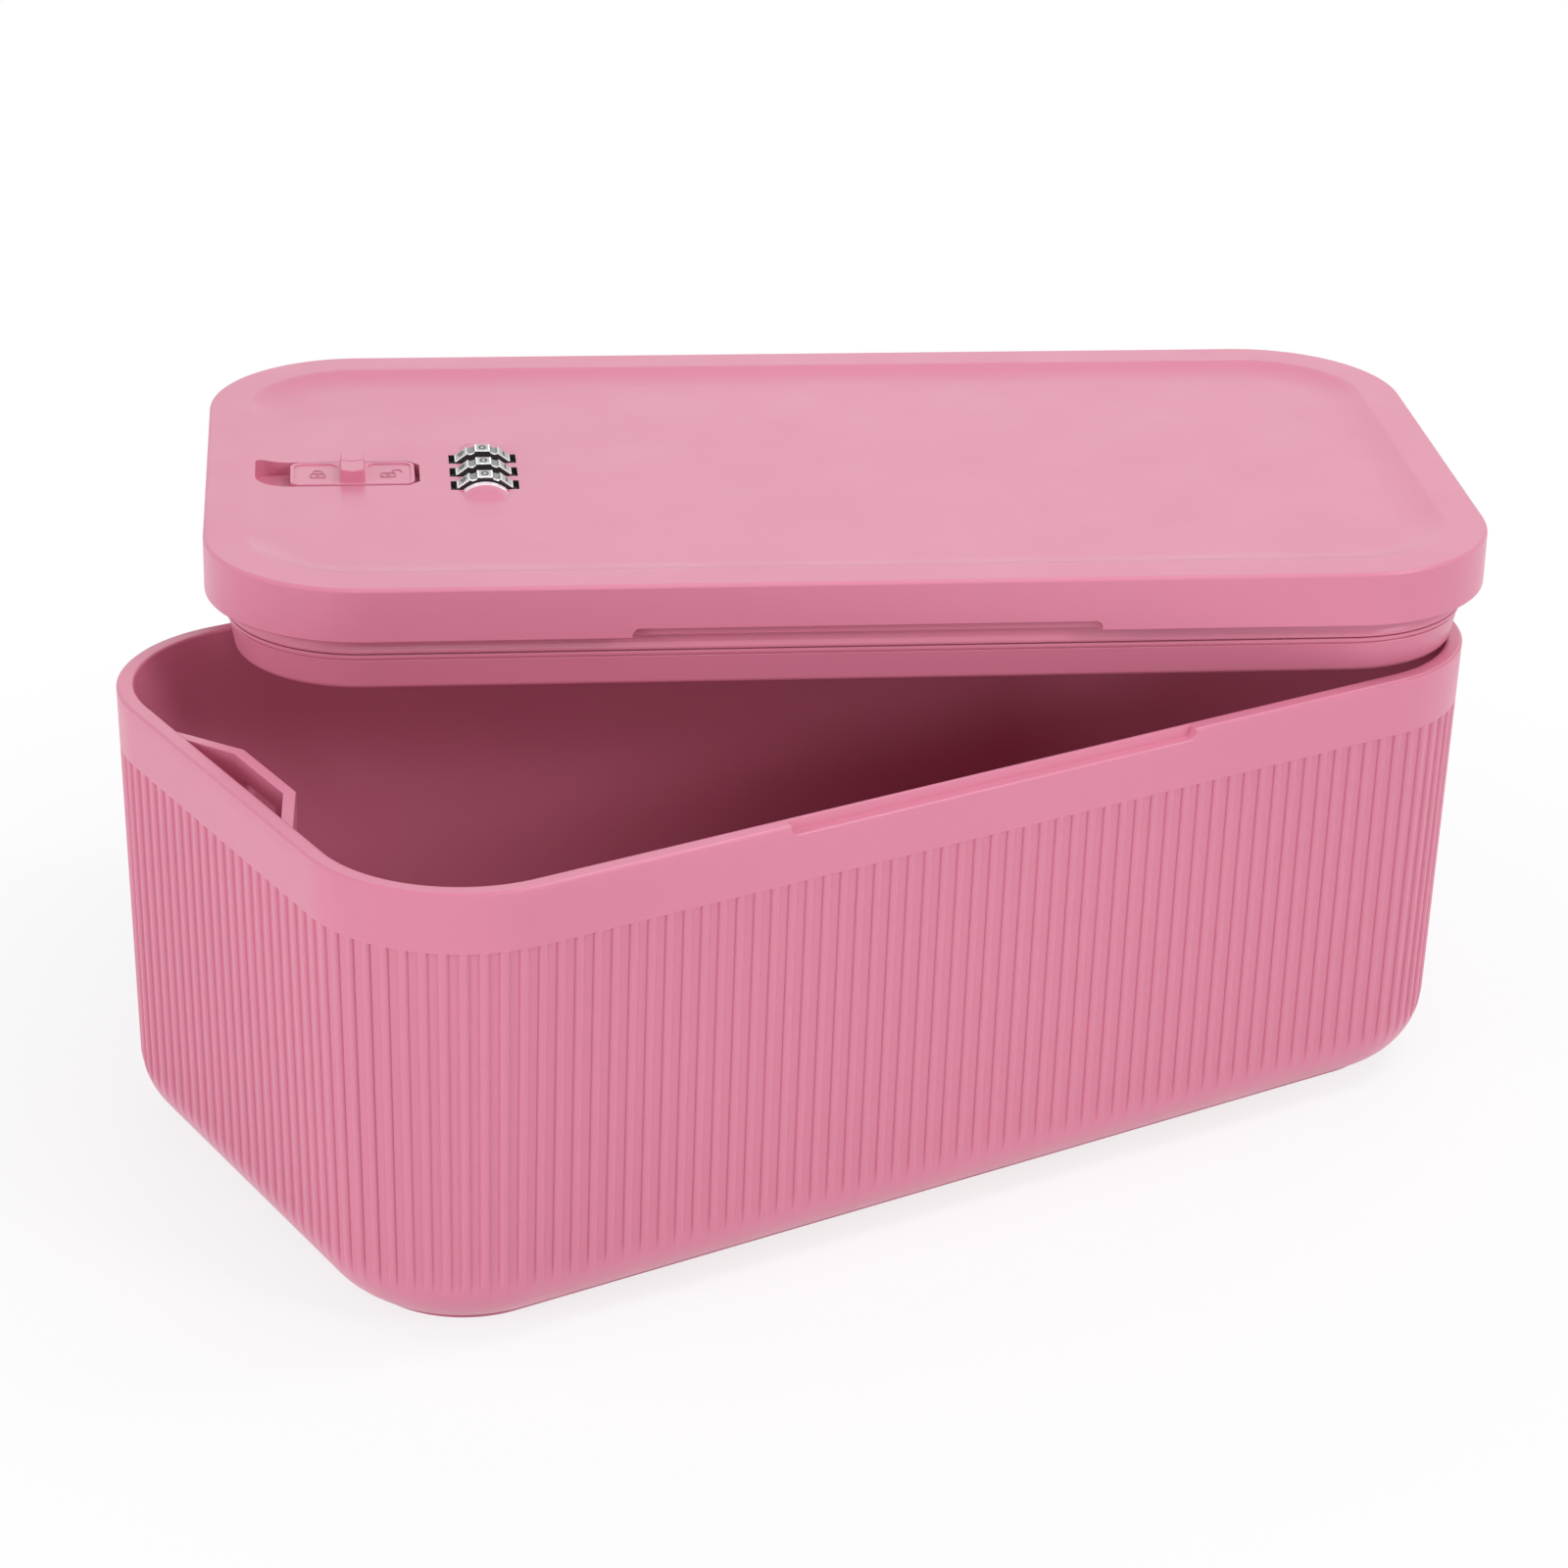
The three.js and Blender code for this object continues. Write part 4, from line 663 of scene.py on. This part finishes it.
# Lid: tray, which drops into the bin as a plug
def lid_tray():
    edge, right = NECK + 1.1, LENGTH / 2
    # From the plug's foot up its side, round the groove and flange under the neck, and down the inside
    section = [
        *arc(edge + 1.6, -PLUG + 1.6, 1.6, -QUARTER, -HALF_TURN, 8),
        (5.03, -6.05), (5.09, -5.94), (5.2, -5.9), (5.4, -5.9), (5.4, -5.4), (4.75, -5.4),
        (4.64, -5.36), (4.6, -5.25), (4.6, -4.8), (4.66, -4.65), (4.8, TRAY_TOP),
        (NECK + TRAY_WALL, TRAY_TOP), (edge + TRAY_WALL, -PLUG + 2),
    ]
    tray = loft([box_ring(inset, z) for inset, z in section])
    inside = box(-LENGTH / 2 + edge, 0, -WIDTH, WIDTH, -PLUG, TRAY_TOP)
    recess = boolean(pocket_recess(TRAY_WALL, -PLUG, TRAY_TOP), "INTERSECT", [inside])
    face, room = right - WALL - KEEPER_REACH - 1, KEEPER_HALF + 1
    backing = box(face - TRAY_WALL, right - edge, -room - TRAY_WALL, room + TRAY_WALL, -12.1, TRAY_TOP)
    tray = join(tray, recess, backing)

    pocket_face = -LENGTH / 2 + POCKET_FACE
    port = box(pocket_face, pocket_face + PORT_LENGTH, -PORT_HALF, PORT_HALF, PORT_LOW, PORT_TOP)
    holes = []
    for x, y in TRAY_SCREWS:
        holes.append(post(x, y, SCREW_HEAD_R, -PLUG - 1, -PLUG + 2.2))
        holes.append(post(x, y, SCREW_HOLE_R, -PLUG - 1, -8))
    holes.append(post(DIAL_X, RESET_Y, RESET_HOLE_R, -PLUG - 1, -10))
    keeper_room = box(face, right, -room, room, -8.3, TRAY_TOP + 1)
    tray = cut(tray, pocket_recess(0, -PLUG - 1, TRAY_TOP + 1), keeper_room, port, *holes)
    tongue = box(face, right - 4.5, 1 - KEEPER_HALF, KEEPER_HALF - 1, -11.6, -8.6)
    return join(tray, tongue)


place(lid_tray(), "lid_tray_body", LID, "lid", pink, ["lid_tray"])


# Slide button: a plate with two sunk pads, a thumb bar across it, and a blade down to the carriage
def thumb_bar(x0, x1):
    """The bar with its top hollowed from edge to edge, and a fine line along the hollow."""
    crown, edge, steps = PANEL + THUMB_RISE, THUMB_EDGE, 8
    section = [(x0 - edge, BUTTON_TOP - 0.6), (x1 + edge, BUTTON_TOP - 0.6), (x1, crown - edge)]
    section += arc(x1 - edge, crown - edge, edge, 0, QUARTER, 4)[1:]
    for k in range(1, steps):
        share = k / steps
        x = x1 - edge + (x0 - x1 + 2 * edge) * share
        section.append((x, crown - 4 * THUMB_HOLLOW * share * (1 - share)))
    section += arc(x0 + edge, crown - edge, edge, QUARTER, HALF_TURN, 4)
    bar = prism_y(section, -THUMB_HALF_Y, THUMB_HALF_Y)
    bar = soften(bar, 0.3, lambda p: p.z > BUTTON_TOP, 3)
    return cut(bar, box(x0 - 1, x1 + 1, 0.55, 0.85, crown - 0.8, crown + 1))


def slide_button():
    middle = (BUTTON_X0 + BUTTON_X1) / 2
    thumb0, thumb1 = middle - THUMB_HALF_X, middle + THUMB_HALF_X
    outline = rounded(BUTTON_X0, BUTTON_X1, -BUTTON_HALF, BUTTON_HALF, BUTTON_CORNER)
    body = prism(outline, SLOT_FLOOR + FIT, BUTTON_TOP)
    half = BUTTON_HALF - PAD_MARGIN
    pads = []
    for x0, x1 in ((BUTTON_X0, thumb0), (thumb1, BUTTON_X1)):
        outline = rounded(x0 + PAD_MARGIN, x1 - PAD_MARGIN, -half, half, PAD_CORNER)
        pads.append(prism(outline, BUTTON_TOP - PAD_DEPTH, BUTTON_TOP + 1))
    body = soften(cut(body, *pads), 0.22, lambda p: p.z > BUTTON_TOP - 0.05, 3)
    x0, x1 = middle - BLADE_HALF_X, middle + BLADE_HALF_X
    blade = box(x0, x1, -BLADE_HALF_Y, BLADE_HALF_Y, BLADE_FOOT, SLOT_FLOOR + 1)
    blade = cut(blade, *[post(middle + shift, 0, SCREW_HOLE_R, -5, 3.4) for shift in (-3, 3)])
    return join(body, blade, thumb_bar(thumb0, thumb1))


place(slide_button(), "slide_button_body", LID, "latch", pink, ["slide_button"])


# Padlock signs on the button's pads, one shut and one open, as thin raised lines
def line_sign(points, z0, z1, closed=False):
    """A raised line through points, narrower at its top."""
    count, half, narrow = len(points), SIGN_WIDTH / 2, 0.6
    rings = []
    for i, (x, y) in enumerate(points):
        before = points[i - 1] if i or closed else points[i]
        after = points[(i + 1) % count] if i < count - 1 or closed else points[i]
        ahead = Vector((after[0] - before[0], after[1] - before[1])).normalized()
        sx, sy = -ahead.y * half, ahead.x * half
        tx, ty = sx * narrow, sy * narrow
        left = [(x + sx, y + sy, z0), (x + tx, y + ty, z1)]
        rings.append(left + [(x - tx, y - ty, z1), (x - sx, y - sy, z0)])
    return loft(rings + [rings[0]] if closed else rings)


def padlock(x, is_open):
    """A body, a shackle and a keyhole. The open one's shackle is swung aside and lifted off."""
    z0, z1 = PANEL - 0.15, PANEL + 0.05
    bow, shift = 1.05, 2.0 if is_open else 0.0
    shackle = [(x - bow + shift, 0.75 if is_open else 0.4)]
    for k in range(11):
        a = HALF_TURN * (1 - k / 10)
        shackle.append((x + shift + bow * math.cos(a), 1.3 + bow * math.sin(a)))
    shackle.append((x + bow + shift, 0.9 if is_open else 0.4))
    body = rounded(x - 1.6, x + 1.6, -2.1, 0.3, 0.5, 4)
    keyhole = post(x, -0.9, 0.34, z0, z1, 16)
    return [line_sign(body, z0, z1, True), line_sign(shackle, z0, z1), keyhole]


def joined(parts):
    """Several objects as one, with their meshes as they are."""
    with bpy.context.temp_override(active_object=parts[0], selected_editable_objects=parts):
        bpy.ops.object.join()
    return parts[0]


signs = joined(padlock(LOCKED_SIGN_X, False) + padlock(OPEN_SIGN_X, True))
# The signs are a darker pink than the button.
place(signs, "slide_button_signs", LID, "latch", sign_relief)


# Number dials: ten flat lands with a digit each, a valley after each, and a bore with ten keyways
def dial_profiles():
    """The wheel's outside and its bore as (radius, angle), eight points of each for every digit."""
    land, valley = math.asin(LAND_HALF / DIAL_R), math.asin(VALLEY_HALF / DIAL_R)
    key = math.asin(KEYWAY_HALF / BORE_R)
    outer, inner = [], []
    for i in range(10):
        a = i * DIGIT_TURN
        between = a + DIGIT_TURN / 2
        for turn in (-1, -0.8, 0, 0.8, 1):
            outer.append((DIAL_FLAT / math.cos(turn * land), a + turn * land))
        for turn in (-1, 0, 1):
            outer.append((DIAL_R - VALLEY_DEPTH - (0.05 if turn == 0 else 0), between + turn * valley))
        keyway = [(KEYWAY_R, a + turn * key) for turn in (-1, 0, 1)]
        inner += [(BORE_R, a - key), *keyway, (BORE_R, a + key)]
        inner += [(BORE_R, between + turn * 0.06) for turn in (-1, 0, 1)]
    return outer, inner


def number_dial(y):
    outer, inner = dial_profiles()

    def ring(profile, offset, along):
        return [(DIAL_X + (r - offset) * math.sin(a), y + along, AXIS_Z + (r - offset) * math.cos(a))
                for r, a in profile]

    half, rounding = DIAL_W / 2, ((0.28, 0), (0.08, 0.08), (0, 0.28))
    rings = [ring(inner, 0, -half)]
    rings += [ring(outer, offset, -half + step) for offset, step in rounding]
    rings += [ring(outer, offset, half - step) for offset, step in reversed(rounding)]
    rings += [ring(inner, 0, half)]
    count = len(outer)
    verts = [v for r in rings for v in r]
    faces = []
    for i in range(len(rings)):
        a, b = i * count, ((i + 1) % len(rings)) * count
        faces += [(a + j, b + j, b + (j + 1) % count, a + (j + 1) % count) for j in range(count)]
    dial = solid(verts, faces)
    # Black sides and bore, satin lands, edges round each land in a brighter metal as a painted highlight,
    # and valleys in a darker metal as painted shade
    for index, face in enumerate(dial.data.polygons):
        row, spot = index // count, index % count % 8
        if row < 1 or row > 5:
            face.material_index = 1
        elif row != 3 or spot in (0, 3):
            face.material_index = 2
        else:
            face.material_index = 0 if spot < 4 else 3
    return dial


def dial_digits(y):
    parts = []
    for i in range(10):
        curve = bpy.data.curves.new("digit", "FONT")
        curve.body = str(i)
        curve.size = DIGIT_SIZE
        curve.align_x, curve.align_y = "CENTER", "CENTER"
        curve.extrude = DIGIT_DEPTH
        curve.offset = DIGIT_WEIGHT
        text = bpy.data.objects.new("digit", curve)
        bpy.context.scene.collection.objects.link(text)
        graph = bpy.context.evaluated_depsgraph_get()
        mesh = bpy.data.meshes.new_from_object(text.evaluated_get(graph))
        bpy.data.objects.remove(text)
        xs, ys = [v.co.x for v in mesh.vertices], [v.co.y for v in mesh.vertices]
        middle = (-(max(xs) + min(xs)) / 2, -(max(ys) + min(ys)) / 2, DIAL_FLAT + 0.005)
        turn = Matrix.Rotation(i * DIGIT_TURN, 4, "Y")
        mesh.transform(Matrix.Translation((DIAL_X, y, AXIS_Z)) @ turn @ Matrix.Translation(middle))
        part = bpy.data.objects.new("digit", mesh)
        bpy.context.scene.collection.objects.link(part)
        parts.append(part)
    return joined(parts)


for i, y in enumerate(DIAL_PLACES, 1):
    place(number_dial(y), f"dial_wheel_{i}", LID, f"dial_{i}", [silver, black, painted_highlight_metal, painted_shade_metal],
          [f"number_dial_{i}"], angle=24)
    place(dial_digits(y), f"dial_digits_{i}", LID, f"dial_{i}", ink, angle=30,
          weighted=False)


# Floor, light and camera
def background_rays(tree):
    """1 for the rays that see the white background: camera, glossy and transmission rays."""
    path = tree.nodes.new("ShaderNodeLightPath")
    seen = path.outputs["Is Camera Ray"]
    for kind in ("Is Glossy Ray", "Is Transmission Ray"):
        either = tree.nodes.new("ShaderNodeMath")
        either.operation = "MAXIMUM"
        tree.links.new(seen, either.inputs[0])
        tree.links.new(path.outputs[kind], either.inputs[1])
        seen = either.outputs[0]
    return seen


def stage_floor():
    """A white floor. Seen directly it glows, but less so near the box, where its shadow has to show."""
    size = 6.0
    corners = [(-size, -size, 0), (size, -size, 0), (size, size, 0), (-size, size, 0)]
    mesh = bpy.data.meshes.new("floor")
    mesh.from_pydata(corners, [], [(0, 1, 2, 3)])
    floor = bpy.data.objects.new("floor", mesh)
    bpy.context.scene.collection.objects.link(floor)
    material = bpy.data.materials.new("floor_white")
    material.use_nodes = True
    tree = material.node_tree
    tree.nodes.remove(tree.nodes["Principled BSDF"])
    diffuse = tree.nodes.new("ShaderNodeBsdfDiffuse")
    diffuse.inputs["Color"].default_value = (0.9, 0.9, 0.905, 1)
    glow = tree.nodes.new("ShaderNodeEmission")
    glow.inputs["Color"].default_value = (1, 1, 1, 1)
    where = tree.nodes.new("ShaderNodeTexCoord")
    away = tree.nodes.new("ShaderNodeVectorMath")
    away.operation = "LENGTH"
    tree.links.new(where.outputs["Object"], away.inputs[0])
    share = tree.nodes.new("ShaderNodeMath")
    share.operation = "MULTIPLY"
    tree.links.new(background_rays(tree), share.inputs[0])
    tree.links.new(ramp(tree, away.outputs["Value"], 0.74, 1.0, 0.1, 0.3), share.inputs[1])
    both = tree.nodes.new("ShaderNodeMixShader")
    tree.links.new(share.outputs[0], both.inputs[0])
    tree.links.new(diffuse.outputs[0], both.inputs[1])
    tree.links.new(glow.outputs[0], both.inputs[2])
    tree.links.new(both.outputs[0], tree.nodes["Material Output"].inputs["Surface"])
    mesh.materials.append(material)


def aimed(lamp, place_at, aim):
    obj = bpy.data.objects.new(lamp.name, lamp)
    bpy.context.scene.collection.objects.link(obj)
    obj.location = place_at
    obj.rotation_euler = (Vector(aim) - Vector(place_at)).to_track_quat("-Z", "Y").to_euler()
    return obj


def area_light(name, place_at, aim, size, power):
    lamp = bpy.data.lights.new(name, "AREA")
    lamp.shape = "DISK"
    lamp.size = size
    lamp.energy = power
    return aimed(lamp, place_at, aim)


def spot_light(name, place_at, aim, cone, radius, power):
    lamp = bpy.data.lights.new(name, "SPOT")
    lamp.spot_size, lamp.spot_blend = math.radians(cone), 1
    lamp.shadow_soft_size = radius
    lamp.energy = power
    return aimed(lamp, place_at, aim)


def photo_camera(position, target, roll, focal, pixels):
    """The camera fitted to the photo's outlines, with its focal length and width in the photo's pixels."""
    back = (position - target).normalized()
    across = (-back).cross(Vector((0, 0, 1))).normalized()
    upward = across.cross(-back)
    right = across * math.cos(roll) + upward * math.sin(roll)
    up = upward * math.cos(roll) - across * math.sin(roll)
    lens = bpy.data.cameras.new("camera")
    lens.sensor_width = 36
    lens.lens = lens.sensor_width * focal / pixels
    lens.clip_start = 0.01
    camera = bpy.data.objects.new("camera", lens)
    bpy.context.scene.collection.objects.link(camera)
    camera.matrix_world = Matrix.Translation(position) @ Matrix((right, up, back)).transposed().to_4x4()
    bpy.context.scene.camera = camera


stage_floor()
world = bpy.data.worlds.new("studio")
bpy.context.scene.world = world
world.use_nodes = True
tree = world.node_tree
sky = tree.nodes["Background"]
sky.inputs["Color"].default_value = (1, 1, 1, 1)
level = tree.nodes.new("ShaderNodeMapRange")
level.inputs["To Min"].default_value, level.inputs["To Max"].default_value = 0.5, 1.0
tree.links.new(background_rays(tree), level.inputs["Value"])
tree.links.new(level.outputs["Result"], sky.inputs["Strength"])

middle = (0, 0, 0.06)
area_light("key", (0.3, -0.2, 1.9), middle, 1.0, 5)
area_light("edge", (1.05, -0.3, 1.8), middle, 0.35, 6)
area_light("front", (0.74, -1.6, 1.02), middle, 0.6, 9.7)
# A low lamp would show as a white glare on the lid from the far side.
area_light("side", (-1.9, -0.15, 0.65), middle, 1.0, 14).visible_glossy = False
spot_light("opening", (-0.7, -1.1, 0.54), (0.075, 0.06, 0.045), 14, 0.08, 11)
area_light("sheen", (0.9, 1.4, 0.95), (0, 0, 0.1), 1.5, 1.8)

photo_camera(Vector((-0.477, -0.7436, 0.4644)), Vector((-0.004196, 0, 0.070913)),
             roll=math.radians(1.402), focal=4488.2, pixels=1600)
bpy.context.scene.view_settings.view_transform = "Standard"
